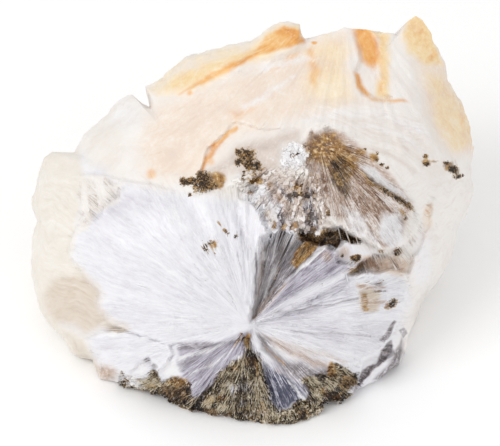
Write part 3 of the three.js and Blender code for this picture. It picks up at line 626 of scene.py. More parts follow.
        (0.6, 0.25, [15, 219, 22, 219, 22, 204, 15, 204]),
        (0.8, 0.12, [55, 191, 95, 228, 99, 224, 60, 189]),
        (0.7, 0.25, [-90, 86, -56, 94, -15, 111, -12, 108, -55, 89, -88, 81]),
        (0.6, 0.19, [-78, 66, -50, 76, -22, 96, -20, 94, -48, 71, -75, 61]),
        (0.6, 0.19, [-62, 94, -25, 101, -24, 98, -60, 90]),
        (0.5, 0.19, [44, 59, 52, 56, 70, 31, 62, 31]),
        (0.95, 0.25, [39, 341, 45, 349, 59, 352, 70, 348, 74, 338, 69, 326, 58, 319, 42, 321, 38, 331]),
    ],
)

# Smaller patches of the same finishes, and the black oxide stains: u, v, half width, half
# height, turn in degrees, and how much.
colourSpots = dict(
    # painted shade: a darker tan line along a crack
    tan=[(-20.2, 17.8, 1.5, 0.4, -12, 0.6)],
    orange=[(-7.5, 41.5, 0.5, 0.4, 0, 0.6), (7.9, 47.9, 0.4, 0.25, 0, 0.9),
        (-12.5, 31.4, 0.9, 0.8, 30, 0.5), (5.2, 45.9, 1.2, 0.5, 30, 0.5), (3.1, 44.4, 1.1, 0.4, 30, 0.45),
        (21.2, 49.1, 0.6, 0.5, 0, 0.5), (22.8, 46.1, 0.6, 0.9, -40, 0.5), (26.5, 38.1, 0.5, 1.5, 10, 0.4),
        (-5, 33.2, 0.6, 0.8, 30, 0.5)],
    lilac=[(4.2, 19.6, 0.9, 0.8, 0, 0.8), (-6.2, 5.6, 1.8, 1.1, 40, 0.6), (13.5, 4.9, 1.1, 0.6, 30, 0.6),
        (3.9, 26.1, 0.5, 1.5, -15, 0.7), (6.8, 29.4, 0.5, 1, 0, 0.4)],
    mauve=[(-18, 6.5, 1.5, 1.1, -20, 0.7), (11.8, 21.5, 0.9, 1, 0, 0.62), (9.6, 21.1, 0.9, 0.8, 0, 0.6),
        (18, 20, 0.8, 1, 0, 0.8), (3.2, 6.4, 0.8, 0.6, 0, 0.7)],
    grey=[(-7.8, 7.8, 1.6, 0.5, 10, 0.5), (-5.2, 7.4, 1, 0.5, 10, 0.5), (-12.9, 8.2, 0.6, 0.4, 0, 0.62),
        (-11.8, 7.4, 0.6, 0.5, -20, 0.62), (16, 17.6, 1.1, 0.6, 0, 0.6), (18.5, 16, 0.5, 0.5, 0, 0.4),
        (17.8, 8.1, 1, 1.1, 40, 0.45)],
    ochre=[(-4.2, 30.6, 1.1, 1.1, 0, 0.85), (0.5, 30.5, 1.1, 0.5, -10, 0.9), (0, 29, 1, 0.6, -20, 0.6),
        (2, 26.2, 0.4, 0.4, 0, 0.8), (3, 25.1, 0.4, 0.6, 0, 0.8), (5.6, 24.9, 0.5, 0.5, 0, 0.8),
        (6, 29.9, 0.5, 0.6, 0, 0.9), (8.1, 35.6, 1.2, 0.9, 0, 0.6), (10, 35.9, 1.5, 0.9, -20, 0.7),
        (11.4, 33, 1.8, 0.6, -10, 0.8), (13.5, 34.1, 1.1, 0.8, -20, 0.7), (15.5, 33.5, 0.8, 0.6, -30, 0.7),
        (14.9, 30.6, 1.2, 0.5, -40, 0.9), (7.8, 36.5, 0.6, 0.6, 0, 0.7), (9, 34.1, 1.1, 1.1, 0, 0.5),
        (19, 26.4, 0.6, 0.31, -40, 0.8), (23.2, 32.9, 0.8, 0.25, 0, 0.6), (25.1, 32.4, 1, 0.8, -35, 0.75),
        (21.9, 32.8, 0.6, 0.5, 0, 0.7), (16.4, 21.6, 0.4, 0.25, 0, 0.9), (17.2, 14.9, 0.5, 0.5, 0, 0.8),
        (-4.6, 22.5, 0.8, 0.6, 0, 0.75), (-4.5, 21.4, 0.25, 0.19, 0, 0.9), (-3, 24.4, 0.5, 0.25, -50, 0.8),
        (-3.8, 25.4, 0.19, 0.5, 30, 0.7), (-0.4, 10.6, 0.5, 1.2, 0, 0.8), (0, 7.9, 1.5, 1.1, 0, 0.6),
        (1.5, 3.4, 1, 2, 0, 0.45), (10.1, 6.8, 0.5, 0.9, 0, 0.8), (11, 3.9, 1, 0.4, 20, 0.8),
        (-5.2, 3.4, 1.5, 1.1, 30, 0.4), (7.5, 33.6, 0.31, 0.9, 0, 0.7), (16.8, 9.1, 0.4, 0.25, 0, 0.4),
        (1.5, 28.1, 0.6, 0.8, 0, 0.6), (5, 26.4, 0.4, 0.5, 0, 0.55), (7.5, 31, 0.5, 0.5, 0, 0.6),
        (3.8, 28.4, 0.5, 0.4, 0, 0.55), (2.5, 29.9, 0.6, 0.4, 20, 0.58), (4.2, 24.9, 0.5, 0.4, 0, 0.62),
        (0.8, 27.4, 0.4, 0.5, 0, 0.55), (6.2, 27.4, 0.4, 0.4, 0, 0.6), (-1.8, 7.4, 0.9, 0.6, -40, 0.6),
        (-3.5, 3.5, 0.6, 0.6, 0, 0.6), (1, 6.6, 0.5, 1, 0, 0.6), (9, 4.6, 0.6, 0.6, 0, 0.6),
        (-9.2, 5.5, 1.5, 0.5, -10, 0.75), (-12.5, 5.2, 1, 0.5, -10, 0.6), (3.9, 4.9, 0.8, 0.9, 20, 0.65)],
    umber=[(8.5, 35.9, 1.1, 0.8, 0, 0.5), (9.8, 36.9, 1, 0.6, -20, 0.5), (11.6, 29, 0.9, 0.8, 0, 0.5),
        (-5.6, 30.4, 1.1, 1.4, 0, 0.8), (6.5, 21.6, 0.5, 0.8, -30, 0.7), (7.8, 22.6, 0.6, 0.4, -20, 0.7),
        (8.5, 23.2, 0.5, 0.4, 0, 0.8), (10.5, 22.8, 0.9, 0.5, 0, 0.8), (7.4, 25.8, 0.6, 1.4, 0, 0.55),
        (7.8, 24.5, 0.9, 0.5, 10, 0.7), (9.5, 24.5, 0.8, 0.4, 0, 0.6), (5, 28.6, 0.6, 0.4, 30, 0.6),
        (6.6, 28.1, 0.5, 0.6, 0, 0.6), (5.9, 28.8, 0.8, 0.4, 0, 0.7), (7.2, 28.8, 0.4, 0.6, 0, 0.7),
        (8, 29, 0.4, 0.6, 0, 0.7), (-9.2, 3.8, 1.1, 1, 0, 0.95), (-2.2, 1.6, 1.5, 0.4, 0, 0.7),
        (1.5, 1.8, 1.2, 0.4, 0, 0.7), (6.5, 1.6, 1, 0.4, 10, 0.7), (2.6, 4.9, 0.5, 1.2, 15, 0.6),
        (0.2, 3.4, 0.5, 1.1, 0, 0.55), (-5.5, 1.8, 2, 0.5, -10, 0.9), (12.1, 5.4, 1.5, 1, 20, 0.7),
        (9.5, 4, 0.6, 0.6, 0, 0.8), (-12.5, 4, 1.5, 0.5, -15, 0.8), (4.1, 23.5, 0.6, 0.5, 0, 0.5),
        (6.5, 24.1, 1.1, 0.9, 0, 0.5), (5.2, 4.4, 0.6, 0.8, -30, 0.6), (2.5, 21.6, 0.4, 1, -15, 0.45),
        (1.5, 18.1, 0.31, 1.2, -10, 0.4)],
    slate=[(-0.8, 2.9, 0.5, 0.8, 0, 0.6), (-2.1, 4.5, 0.4, 0.8, -20, 0.6), (-0.6, 4.8, 1.5, 1.1, 0, 0.55),
        (4.2, 2.9, 1.1, 0.6, -10, 0.9)],
    white=[(-15, 5.5, 2, 0.6, -12, 0.75), (-17.2, 5.9, 0.8, 0.5, 0, 0.4), (2.2, 20.4, 0.15, 1.8, -8, 0.6),
        (3.6, 20.4, 0.15, 1.8, -30, 0.6), (3, 22.6, 0.15, 0.8, -10, 0.5), (21.6, 20.4, 1.5, 4.5, 0, 0.75),
        (13.5, 25.4, 1.6, 0.9, 30, 0.55), (-15.4, 38.8, 2.5, 2.5, 0, 0.55), (0.5, 32, 0.6, 0.5, 0, 0.7),
        (3, 19.1, 0.4, 0.9, -30, 0.6), (-13.5, 7, 0.9, 0.9, 0, 0.7), (-9.9, 7.1, 1.2, 1.1, 0, 0.8),
        (4.1, 29.2, 0.5, 0.8, 0, 0.4), (5.4, 29.9, 0.31, 0.5, 0, 0.6), (13.5, 21.4, 0.4, 0.25, 0, 0.7),
        (-2.5, 4.9, 0.4, 0.8, 0, 0.4), (-1, 5.9, 0.4, 0.6, 0, 0.4), (0.8, 5.1, 0.4, 0.6, 0, 0.4),
        (1.9, 21.1, 0.25, 0.8, 0, 0.5)],
    stain=[(-0.4, 33.4, 1.1, 0.9, 30, 0.62), (0.8, 32.1, 0.6, 0.8, 30, 0.6), (-6.2, 30.1, 1.1, 1, 0, 0.6),
        (-8.5, 30.5, 0.4, 0.5, 0, 1), (-7.4, 30.5, 0.8, 0.4, 0, 1), (-5.8, 30.8, 0.8, 0.9, 0, 0.9),
        (-7.6, 28.8, 0.25, 0.25, 0, 1), (-5.2, 29.8, 1.1, 0.5, 10, 0.8), (-1.5, 34, 0.4, 0.4, 0, 1),
        (-0.5, 33.8, 0.6, 0.5, 0, 0.9), (-1.5, 32.8, 0.4, 0.5, 0, 0.8), (-0.2, 32.5, 0.5, 0.6, 0, 1),
        (0.9, 32.6, 0.4, 0.5, 0, 0.9), (-0.8, 31.2, 0.2, 0.6, -10, 0.9), (6.9, 23.9, 0.9, 0.31, -10, 0.9),
        (8.6, 23.4, 0.5, 0.31, 0, 0.9), (10, 23.9, 1, 0.4, 0, 0.9), (12, 23.4, 0.8, 0.31, -10, 0.9),
        (13.1, 23.2, 0.5, 0.25, 0, 0.9), (13.2, 20.9, 0.6, 0.4, 0, 1), (10.5, 22.9, 0.8, 0.25, 0, 0.6),
        (9.8, 26.4, 0.31, 0.31, 0, 0.8), (18.5, 21.9, 0.4, 0.4, -20, 0.85), (18.2, 21.4, 0.25, 0.25, 0, 1),
        (17.8, 15.2, 0.5, 0.4, 40, 1), (17, 29.1, 1, 0.4, -35, 0.6), (18.4, 28.2, 1, 0.4, -35, 0.68),
        (19.6, 27.4, 0.6, 0.4, -35, 0.68), (-5.6, 22.1, 0.4, 0.31, 0, 1), (-5, 22.8, 0.4, 0.25, 0, 0.6),
        (-2.9, 24.2, 0.4, 0.16, -50, 0.8), (-1.8, 23.5, 0.2, 0.25, -30, 0.9),
        (21.9, 33.6, 0.31, 0.25, 0, 0.7), (22, 32.6, 0.4, 0.31, 0, 0.95), (24.6, 32.8, 0.4, 0.25, 0, 0.7),
        (25.4, 32, 0.6, 0.4, -35, 0.95), (25.9, 31.2, 0.5, 0.25, 0, 0.8), (26.6, 31.2, 0.19, 0.19, 0, 0.8),
        (14.4, 34.5, 0.16, 0.16, 0, 0.9), (15.9, 34, 0.16, 0.16, 0, 0.9), (15.9, 33.2, 0.2, 0.2, 0, 0.8),
        (16.4, 32.5, 0.2, 0.2, 0, 0.8), (17.1, 32.1, 0.2, 0.2, 0, 0.8), (19.4, 25.8, 0.19, 0.19, 0, 0.9),
        (5, 33.8, 0.15, 0.3, 0, 0.8), (5.8, 33.9, 0.15, 0.33, 0, 0.7), (-15.9, 6.4, 0.16, 0.16, 0, 0.9),
        (-15.5, 5.4, 0.4, 0.19, 0, 0.9), (16.6, 18.1, 0.16, 0.16, 0, 0.8), (9, 17.6, 0.12, 0.12, 0, 0.8),
        (11.6, 21.1, 0.12, 0.25, 0, 0.7), (4.2, 23.6, 0.6, 0.4, 0, 0.5), (-1, 11, 0.25, 0.4, 0, 0.8),
        (12.1, 5.4, 1, 0.5, 30, 0.8), (-0.9, 34.4, 0.25, 0.19, 0, 0.7), (6.5, 28.8, 0.31, 0.19, 0, 0.6),
        (11.1, 30.9, 0.4, 0.8, 20, 0.5)],
)
crustOutline = [
    -164, 51, -161, 64, -154, 59, -140, 59, -128, 61, -122, 71, -116, 69, -111, 56, -98, 61, -82, 54,
    -75, 51, -74, 34, -68, 36, -56, 44, -46, 51, -41, 64, -25, 79, -12, 84, -6, 94, -6, 112, 0, 106, 2, 94,
    12, 89, 20, 66, 26, 50, 28, 31, 39, 20, 52, 22, 59, 30, 70, 31, 72, 41, 65, 56, 78, 64, 95, 61,
    100, 74, 110, 76, 121, 70, 135, 64, 134, 54, 125, 46, 118, 35, 80, 0, 50, -20, -12, -20, -80, 5,
    -140, 30,
]

# Where the fibres run out from the upper growth centre, and where they sweep round it.
upperFanOutline = [
    -18, 309, 15, 322, 62, 335, 65, 370, 90, 385, 130, 375, 170, 335, 205, 280, 205, 220, 128, 204,
    90, 230, 25, 244, 5, 262, -15, 286,
]
sweepOutline = [
    62, 400, 112, 406, 169, 402, 212, 391, 238, 344, 244, 306, 219, 300, 194, 325, 162, 344, 131, 362,
    94, 381, 62, 381,
]
sweepCentre = (-1.2, 43.1)
# Widths of the soft edges of those two, and the v range over which the top fan sets in.
fanEdges = dict(upper=2, sweep=2.5, top=(30, 33))


# Share of an area at each point: a straight ramp across its soft edge, times its amount.
def areaShare(areas, u, v):
    share = np.zeros_like(u)
    for amount, soft, outline in areas:
        depth = depthInside(outline, u, v)
        share = np.maximum(share, amount * clamp01(0.5 + depth / (2 * soft)))
    return share


# Share of patches: full near the middle, half at the ellipse and none at 1.6 times its size.
def spotShare(spots, u, v):
    share = np.zeros_like(u)
    for spotU, spotV, wide, high, turn, amount in spots:
        near = np.hypot(u - spotU, v - spotV) < 1.7 * max(wide, high)
        x, y = turned(u[near] - spotU, v[near] - spotV, -turn)
        off = np.hypot(x / wide, y / high)
        share[near] = np.maximum(share[near], amount * clamp01(0.5 + 0.85 * (1 - off)))
    return share


# The crust's soft edge and relief on the foot, and where it covers the skin: up to a height over
# the base that noise lets swing, below one v and within a distance of a middle u.
crustForm = dict(
    soft=0.9, swing=0.3, size=0.8, top=9, topSwing=2.5, topSize=6, fade=4, below=4, middle=-2, reach=17,
)


# The brown matrix crust: its outline on the foot of the face, and the skin near the base.
def crustShare(u, v, skin, z):
    foot = clamp01(0.5 + depthInside(crustOutline, u, v) / crustForm["soft"])
    top = crustForm["top"] - z + layeredNoise(u, v, z, [(crustForm["topSwing"], crustForm["topSize"])])
    low = skin * clamp01(top / crustForm["fade"])
    inReach = np.abs(u - crustForm["middle"]) < crustForm["reach"]
    return np.maximum(foot, low * (v < crustForm["below"]) * inReach)


# Where the camera sees points, as (u, v) in the plane that it is framed on: away from the
# frame's middle by distance / (distance - height over that plane).
def seenPlace(points):
    spread = view["distance"] / (
        view["distance"] - (points @ leanBack(0, 0, 1) - view["middle"][2]))
    seenV = view["middle"][1] + (points @ leanBack(0, 1, 0) - view["middle"][1]) * spread
    return points[:, 0] * spread, seenV


bentOutlines = [(0.3, 1.3, 31.5, 37.5), (0.13, 0.45, 33.5, 39.5)]


# What the materials read at each point: the share of every colour area, of crust, stain and
# skin, and the fan whose fibres run there. Noise bends the outlines.
def faceMarks(place, z):
    u, v, skin, reachesBack = (place[key] for key in ("u", "v", "skin", "reachesBack"))
    bentU, bentV = raggedPlace(u, v, bentOutlines)
    marks = {}
    for name in areaLooks:
        if name == "crust":
            marks[name] = crustShare(bentU, bentV, skin, z)
        else:
            share = areaShare(colourAreas.get(name, []), bentU, bentV)
            share = np.maximum(share, spotShare(colourSpots.get(name, []), bentU, bentV))
            marks[name] = share * reachesBack
    marks["stain"] = spotShare(colourSpots["stain"], bentU, bentV) * (reachesBack > 0.99)
    marks["skin"] = skin
    marks["upperFan"] = clamp01(0.5 + depthInside(upperFanOutline, u, v) / fanEdges["upper"])
    marks["sweep"] = clamp01(0.5 + depthInside(sweepOutline, u, v) / fanEdges["sweep"])
    others = (1 - marks["upperFan"]) * (1 - marks["sweep"])
    marks["topFan"] = smoothStep(*fanEdges["top"], v) * others
    return marks


# A socket's value that varies over the surface; arithmetic on it adds Math nodes.
class Flow:
    def __init__(self, shader, socket):
        self.shader, self.socket = shader, socket

    def maths(self, operation, *values):
        return self.shader.add("Math", dict(operation=operation), dict(enumerate(values)))

    def __add__(self, other):
        return self.maths("ADD", self, other)

    def __sub__(self, other):
        return self.maths("SUBTRACT", self, other)

    def __rsub__(self, other):
        return self.maths("SUBTRACT", other, self)

    def __mul__(self, other):
        return self.maths("MULTIPLY", self, other)

    def __pow__(self, other):
        return self.maths("POWER", self, other)

    __radd__, __rmul__ = __add__, __mul__

    def clamped(self):
        return self.shader.add("Clamp", {}, {"Value": self})

    # 0 below start, 1 above end, with an s-curve between.
    def step(self, start, end):
        sockets = {"Value": self, "From Min": start, "From Max": end}
        return self.shader.add("MapRange", dict(interpolation_type="SMOOTHSTEP"), sockets)


# A material whose nodes are added one at a time by type, settings and sockets; its point is
# the place on the object.
class Shader:
    def __init__(self, name):
        self.material = bpy.data.materials.new(name)
        self.material.use_nodes = True
        self.tree = self.material.node_tree
        self.tree.nodes.clear()
        self.point = self.add("TexCoord", {}, {}, output=3)

    def add(self, kind, settings, sockets, output=0):
        node = self.tree.nodes.new("ShaderNode" + kind)
        for key, value in settings.items():
            if key == "tones":
                self.setTones(node.color_ramp, value)
            else:
                setattr(node, key, value)
        for key, value in sockets.items():
            if isinstance(value, Flow):
                self.tree.links.new(value.socket, node.inputs[key])
            else:
                node.inputs[key].default_value = value
        return Flow(self, node.outputs[output])

    # A ramp's stops: places from 0 to 1, each with the display values of its colour.
    def setTones(self, ramp, tones):
        while len(ramp.elements) < len(tones):
            ramp.elements.new(1)
        for element, (place, *display) in zip(ramp.elements, tones):
            element.position, element.color = place, (*colour(*display), 1)

    def ramp(self, share, tones):
        return self.add("ValToRGB", dict(tones=tones), {0: share})

    def mark(self, name):
        return self.add("Attribute", dict(attribute_name=name), {}, output=2)

    def mix(self, under, over, share, mode="MIX"):
        under, over = (c if isinstance(c, Flow) else (*c, 1) for c in (under, over))
        settings = dict(data_type="RGBA", blend_type=mode)
        return self.add("Mix", settings, {0: share, 6: under, 7: over}, output=2)

    def noise(self, vector, scale, detail=2.0, roughness=0.5):
        sockets = {"Vector": vector, "Scale": scale, "Detail": detail, "Roughness": roughness}
        return self.add("TexNoise", {}, sockets)

    def vector(self, x, y, z):
        return self.add("CombineXYZ", {}, {0: x, 1: y, 2: z})

    def dot(self, vector, direction):
        settings = dict(operation="DOT_PRODUCT")
        return self.add("VectorMath", settings, {0: vector, 1: direction}, output=1)

    # The Principled surface with a bump of that depth in metres; gives the material back.
    def finish(self, sockets, height, bumpDepth):
        bump = self.add("Bump", {}, {"Height": height, "Distance": bumpDepth})
        surface = self.add("BsdfPrincipled", {}, {**sockets, "Normal": bump})
        end = self.tree.nodes.new("ShaderNodeOutputMaterial")
        self.tree.links.new(surface.socket, end.inputs["Surface"])
        return self.material


# The studio light is bright, so colours are made this much darker than they should look.
stonePaleness = 0.9


# Display values from 0 to 255 as the shares of light that the stone sends back.
def colour(*display):
    return tuple(stonePaleness * ((c / 255 + 0.055) / 1.055) ** 2.4 for c in display)


# Each area's tones from dark to light, how strongly they differ, how much of the difference
# is granular rather than fibrous, how far noise frays the edge, and how hard the edge is
# drawn. They are laid over each other in this order.
areaLooks = dict(
    pearl=dict(spread=1.3, grainy=0, fray=0.5, hard=1.0, tones=[
        (0.1, 230, 219, 211), (0.5, 245, 240, 235), (0.9, 252, 249, 246)]),
    cream=dict(spread=1.2, grainy=0, fray=0.3, hard=1.2, tones=[
        (0.2, 228, 219, 206), (0.8, 247, 243, 236)]),
    # tan is the stone's tan, and along one crack also painted shade
    tan=dict(spread=1.5, grainy=0, fray=0.6, hard=1.1, tones=[
        (0.1, 196, 178, 158), (0.5, 221, 208, 193), (0.9, 236, 227, 216)]),
    # peach is the stone's peach tint, and also painted light in the recess and its groove
    peach=dict(spread=2.4, grainy=0.25, fray=1.3, hard=1.0, tones=[
        (0.1, 235, 200, 168), (0.5, 242, 224, 206), (0.9, 250, 242, 233)]),
    butter=dict(spread=2.4, grainy=0.25, fray=1.5, hard=1.0, tones=[
        (0.1, 238, 198, 134), (0.5, 247, 221, 174), (0.9, 249, 236, 212)]),
    orange=dict(spread=2.4, grainy=0.12, fray=0.8, hard=1.1, tones=[
        (0.1, 208, 129, 62), (0.5, 238, 175, 97), (0.9, 247, 209, 150)]),
    lilac=dict(spread=1.8, grainy=0, fray=0.5, hard=1.2, tones=[
        (0.05, 122, 115, 130), (0.4, 184, 178, 190), (0.7, 216, 212, 223),
        (0.95, 243, 242, 247)]),
    mauve=dict(spread=2.3, grainy=0.3, fray=0.8, hard=1.1, tones=[
        (0.05, 122, 90, 68), (0.4, 190, 163, 144), (0.7, 222, 206, 195),
        (0.95, 246, 241, 239)]),
    # grey is the stone's own grey, and also painted shade in the rim crack, on the rim lobe, in the deep
    # valley and in a patch among the broken blocks
    grey=dict(spread=2.8, grainy=0.3, fray=0.6, hard=1.4, tones=[
        (0.05, 66, 58, 56), (0.4, 132, 124, 126), (0.7, 182, 176, 182),
        (0.95, 234, 231, 235)]),
    crust=dict(spread=3.1, grainy=0.6, fray=0.7, hard=2.0, tones=[
        (0.05, 32, 20, 11), (0.3, 76, 57, 34), (0.55, 120, 99, 66),
        (0.75, 162, 142, 105), (0.95, 212, 200, 176)]),
    ochre=dict(spread=2.8, grainy=0.5, fray=1.4, hard=2.2, tones=[
        (0.05, 84, 51, 15), (0.35, 142, 99, 45), (0.65, 182, 140, 79),
        (0.95, 222, 193, 143)]),
    # umber is the stone's dark brown, and in the crevice also painted shade
    umber=dict(spread=2.8, grainy=0.6, fray=1.4, hard=2.0, tones=[
        (0.05, 24, 14, 7), (0.4, 66, 44, 24), (0.7, 106, 77, 45),
        (0.95, 170, 140, 102)]),
    slate=dict(spread=3.2, grainy=0.15, fray=1.2, hard=1.6, tones=[
        (0.05, 37, 41, 66), (0.5, 94, 94, 113), (0.95, 212, 211, 224)]),
    white=dict(spread=1.4, grainy=0.3, fray=1.0, hard=1.3, tones=[
        (0.05, 222, 217, 218), (0.5, 245, 243, 244), (0.9, 254, 254, 254)]),
)
crystal = dict(
    tones=[(0.1, 224, 221, 228), (0.5, 241, 240, 244), (0.9, 251, 251, 253)],
    spread=1.6,
    stain=[(0.1, 10, 7, 5), (0.5, 38, 26, 16), (0.75, 96, 68, 36),
           (0.95, 164, 126, 72)],
    halo=[(0.0, 112, 78, 38), (1.0, 214, 180, 128)],
    stainEdge=(0.55, 0.08), haloEdge=(0.3, 0.1),  # middle and half width
    sparkle=(244, 238, 234),
    # three layers of streaks: how fine per radian of turn, and per metre along and into the face
    fine=dict(across=48, along=260, deep=300, layer=(1, 3, 0.6)),
    broad=dict(across=10, along=110, deep=90, layer=(1, 2, 0.5)),
    hair=dict(across=75, along=1100, deep=300, layer=(1, 2, 0.6)),
    calmNear=(0.001, 0.0045),  # metres from the upper centre over which the fibres set in
    wander=0.16, bend=(170, 2, 0.5),  # how far noise bends the fibres, in radians, and the noise
    fanShares=dict(upperFan=(0.4, 0.6), topFan=(0.3, 0.7), sweep=(0.3, 0.7)),
    # shares of the noises in what is fibrous (fine, broad, hair), granular (speckle, fleck,
    # cloud), rough and frayed (cloud, and speckle or fibre)
    fibrous=(0.55, 0.3, 0.35), granular=(0.9, 1.0, 0.8), rough=(0.6, 0.4), frayed=(0.6, 0.4),
    # grain instead of fibres near the upper centre, and cloud instead of them in the top fan
    calmGrain=0.6, topCalm=0.55, topCloud=0.6,
    grainyTone=0.8, grainyFray=0.6, skinEdge=(0.3, 0.8),
    shadeTone=0.2, shadeLook=0.16,  # how much a needle's own shade counts, bare and in a look
    mauveSparkle=0.7, sparkleEdge=(0.55, 0.64),
    stainGrain=(1.5, 1.0), stainNear=(0.0, 0.2), haloShare=0.8,
    relief=(0.8, 0.2, 0.3), skinRelief=1.2,  # depth of grain, speckle and stains, and of skin
    # scale, detail and roughness of each noise, and how strongly the last one sways the fibres
    cloud=(260, 4, 0.6), speckle=(1500, 3, 0.6), fleck=(2700, 2, 0.6), contrast=(140, 2, 0.5),
    contrastGain=1.9,
    roughness=(0.36, 0.62), stainDull=0.2, ior=1.52, bumpDepth=0.00011,
    subsurface=0.25, subsurfaceRadius=(1.0, 0.85, 0.75), subsurfaceScale=0.0016,
)
fibreCentres = dict(growthCentres, sweep=sweepCentre)


# The values, each times its share, added up.
def blend(values, shares):
    return sum(value * share for value, share in zip(values, shares))


# Noise of a layer of streaks on turn, distance and depth round a growth centre; shift keeps
# the centres apart.
def streaks(shader, name, turn, far, w, shift=0):
    form = crystal[name]
    place = shader.vector(turn * form["across"], far * form["along"], w * form["deep"] + shift)
    return shader.noise(place, *form["layer"])


# Fibres radiate from the growth centres: noise on turn and distance round the centre whose
# fan the point belongs to, stretched along the distance, in a broad and a fine layer. Slow
# noise bends them and lets them fade in places.
def fibrePattern(shader, shift):
    point = shader.point
    u = shader.dot(point, (1, 0, 0)) - shift[0]
    v = shader.dot(point, (0, leanSin, leanCos)) - (shift[1] * leanSin + shift[2] * leanCos)
    w = shader.dot(point, (0, -leanCos, leanSin))
    bend = (shader.noise(point, *crystal["bend"]) - 0.5) * crystal["wander"]
    layers = []
    for index, (fan, (centreU, centreV)) in enumerate(fibreCentres.items()):
        du, dv = u - centreU * millimetre, v - centreV * millimetre
        far = (du * du + dv * dv) ** 0.5
        turn = du.maths("ARCTAN2", du, dv if fan == "lower" else dv * -1) + bend
        streak, broadStreak = (
            streaks(shader, name, turn, far, w, index) for name in ("fine", "broad"))
        layers.append((streak, broadStreak, turn, far))
    shares = [shader.mark(fan).step(*edges) for fan, edges in crystal["fanShares"].items()]
    chosen = []
    for streak, *others in zip(*layers):
        for other, share in zip(others, shares):
            streak = streak + (other - streak) * share
        chosen.append(streak)
    streak, broadStreak, turn, far = chosen
    calm = shares[0] * (1 - far.step(*crystal["calmNear"]))
    return streak, broadStreak, streaks(shader, "hair", turn, far, w), calm


# The stone's finish: fibre noise picks a tone from each area's ramp, the areas lie over one
# another with frayed edges, and granular oxide stains with rust round them lie on top.
def crystalMaterial(name, shift, subsurface):
    shader = Shader(name)
    point = shader.point
    fineStreak, broadStreak, hair, calm = fibrePattern(shader, shift)
    cloud, speckle, fleck, contrast = (
        shader.noise(point, *crystal[layer]) for layer in ("cloud", "speckle", "fleck", "contrast"))
    granular = blend((speckle - 0.5, fleck - 0.5, cloud - 0.5), crystal["granular"])
    rough = blend((cloud, speckle), crystal["rough"]) - 0.5
    fibre = blend((fineStreak, broadStreak, hair), crystal["fibrous"]) - sum(crystal["fibrous"]) / 2
    fibre = fibre * (contrast * crystal["contrastGain"])
    fibre = fibre + (granular * crystal["calmGrain"] - fibre) * calm
    topFan = shader.mark("topFan")
    fibre = fibre * (1 - topFan * crystal["topCalm"]) + (cloud - 0.5) * topFan * crystal["topCloud"]
    grain = fibre + (rough - fibre) * shader.mark("skin").step(*crystal["skinEdge"])
    shade = shader.mark("shade")
    tone = grain * crystal["spread"] + shade * crystal["shadeTone"] + 0.5
    paint = shader.ramp(tone, crystal["tones"])
    flecked = shader.mark("mauve") * crystal["mauveSparkle"]
    for lookName, look in areaLooks.items():
        mark, grainy = shader.mark(lookName), look["grainy"]
        mixed, ragged = grain, blend((cloud, fibre), crystal["frayed"]) - crystal["frayed"][0] / 2
        if grainy:
            mixed = grain * (1 - grainy) + granular * (crystal["grainyTone"] * grainy)
            ragged = ragged * (1 - grainy) + granular * (crystal["grainyFray"] * grainy)
            flecked = flecked.maths("MAXIMUM", flecked, mark * grainy)
        shaded = shade * crystal["shadeLook"] * look["spread"]
        tone = (mixed * look["spread"] + shaded + 0.5).clamped()
        frayed = mark + ragged * look["fray"]
        share = ((frayed - 0.5) * look["hard"] + 0.5).step(0.1, 0.9) * mark.step(0.0, 0.12)
        paint = shader.mix(paint, shader.ramp(tone, look["tones"]), share)
    sparkle = (hair * 0.5 + fleck * 0.5).step(*crystal["sparkleEdge"]) * flecked
    paint = shader.mix(paint, colour(*crystal["sparkle"]), sparkle)
    stainMark = shader.mark("stain")
    fleckShare, speckleShare = crystal["stainGrain"]
    stain = stainMark + (fleck - 0.5) * fleckShare + (speckle - 0.5) * speckleShare
    near = stainMark.step(*crystal["stainNear"])
    halo, core = (
        stain.step(middle - half, middle + half) * near
        for middle, half in (crystal["haloEdge"], crystal["stainEdge"]))
    paint = shader.mix(paint, shader.ramp(speckle * 3 - 1, crystal["halo"]), halo * crystal["haloShare"])
    paint = shader.mix(paint, shader.ramp(granular * 1.6 + 0.5, crystal["stain"]), core)
    smooth, dull = crystal["roughness"]
    sheen = ((grain + 0.5) * (smooth - dull) + dull + core * crystal["stainDull"]).clamped()
    sockets = {
        "Base Color": paint, "Roughness": sheen, "IOR": crystal["ior"],
        "Subsurface Weight": subsurface,
        "Subsurface Radius": crystal["subsurfaceRadius"],
        "Subsurface Scale": crystal["subsurfaceScale"],
    }
    relief = blend((grain, speckle, core), crystal["relief"])
    relief = relief + shader.mark("skin") * cloud * crystal["skinRelief"]
    return shader.finish(sockets, relief, crystal["bumpDepth"])


oxideFinish = dict(
    tones=[(0.0, 12, 9, 7), (0.45, 48, 33, 20), (0.7, 106, 76, 40),
           (1.0, 178, 138, 82)],
    mottle=(2600, 3, 0.6), mottleTone=0.8, mottleDull=0.3, shadeTone=0.5,
    roughness=0.6, ior=1.55, bumpDepth=0.00004,
)


# Dark oxide grains: a tone for each grain, mottled finely.
def oxideMaterial():
    shader = Shader("oxide grains")
    mottle = shader.noise(shader.point, *oxideFinish["mottle"])
    shaded = shader.mark("shade") * oxideFinish["shadeTone"]
    tone = (shaded + (mottle - 0.5) * oxideFinish["mottleTone"] + 0.5).clamped()
    dull = (mottle - 0.5) * oxideFinish["mottleDull"] + oxideFinish["roughness"]
    sockets = {"Base Color": shader.ramp(tone, oxideFinish["tones"]), "IOR": oxideFinish["ior"],
               "Roughness": dull.clamped()}
    return shader.finish(sockets, mottle, oxideFinish["bumpDepth"])


# A new object with that data, in the scene.
def addObject(name, data):
    made = bpy.data.objects.new(name, data)
    bpy.context.scene.collection.objects.link(made)
    return made


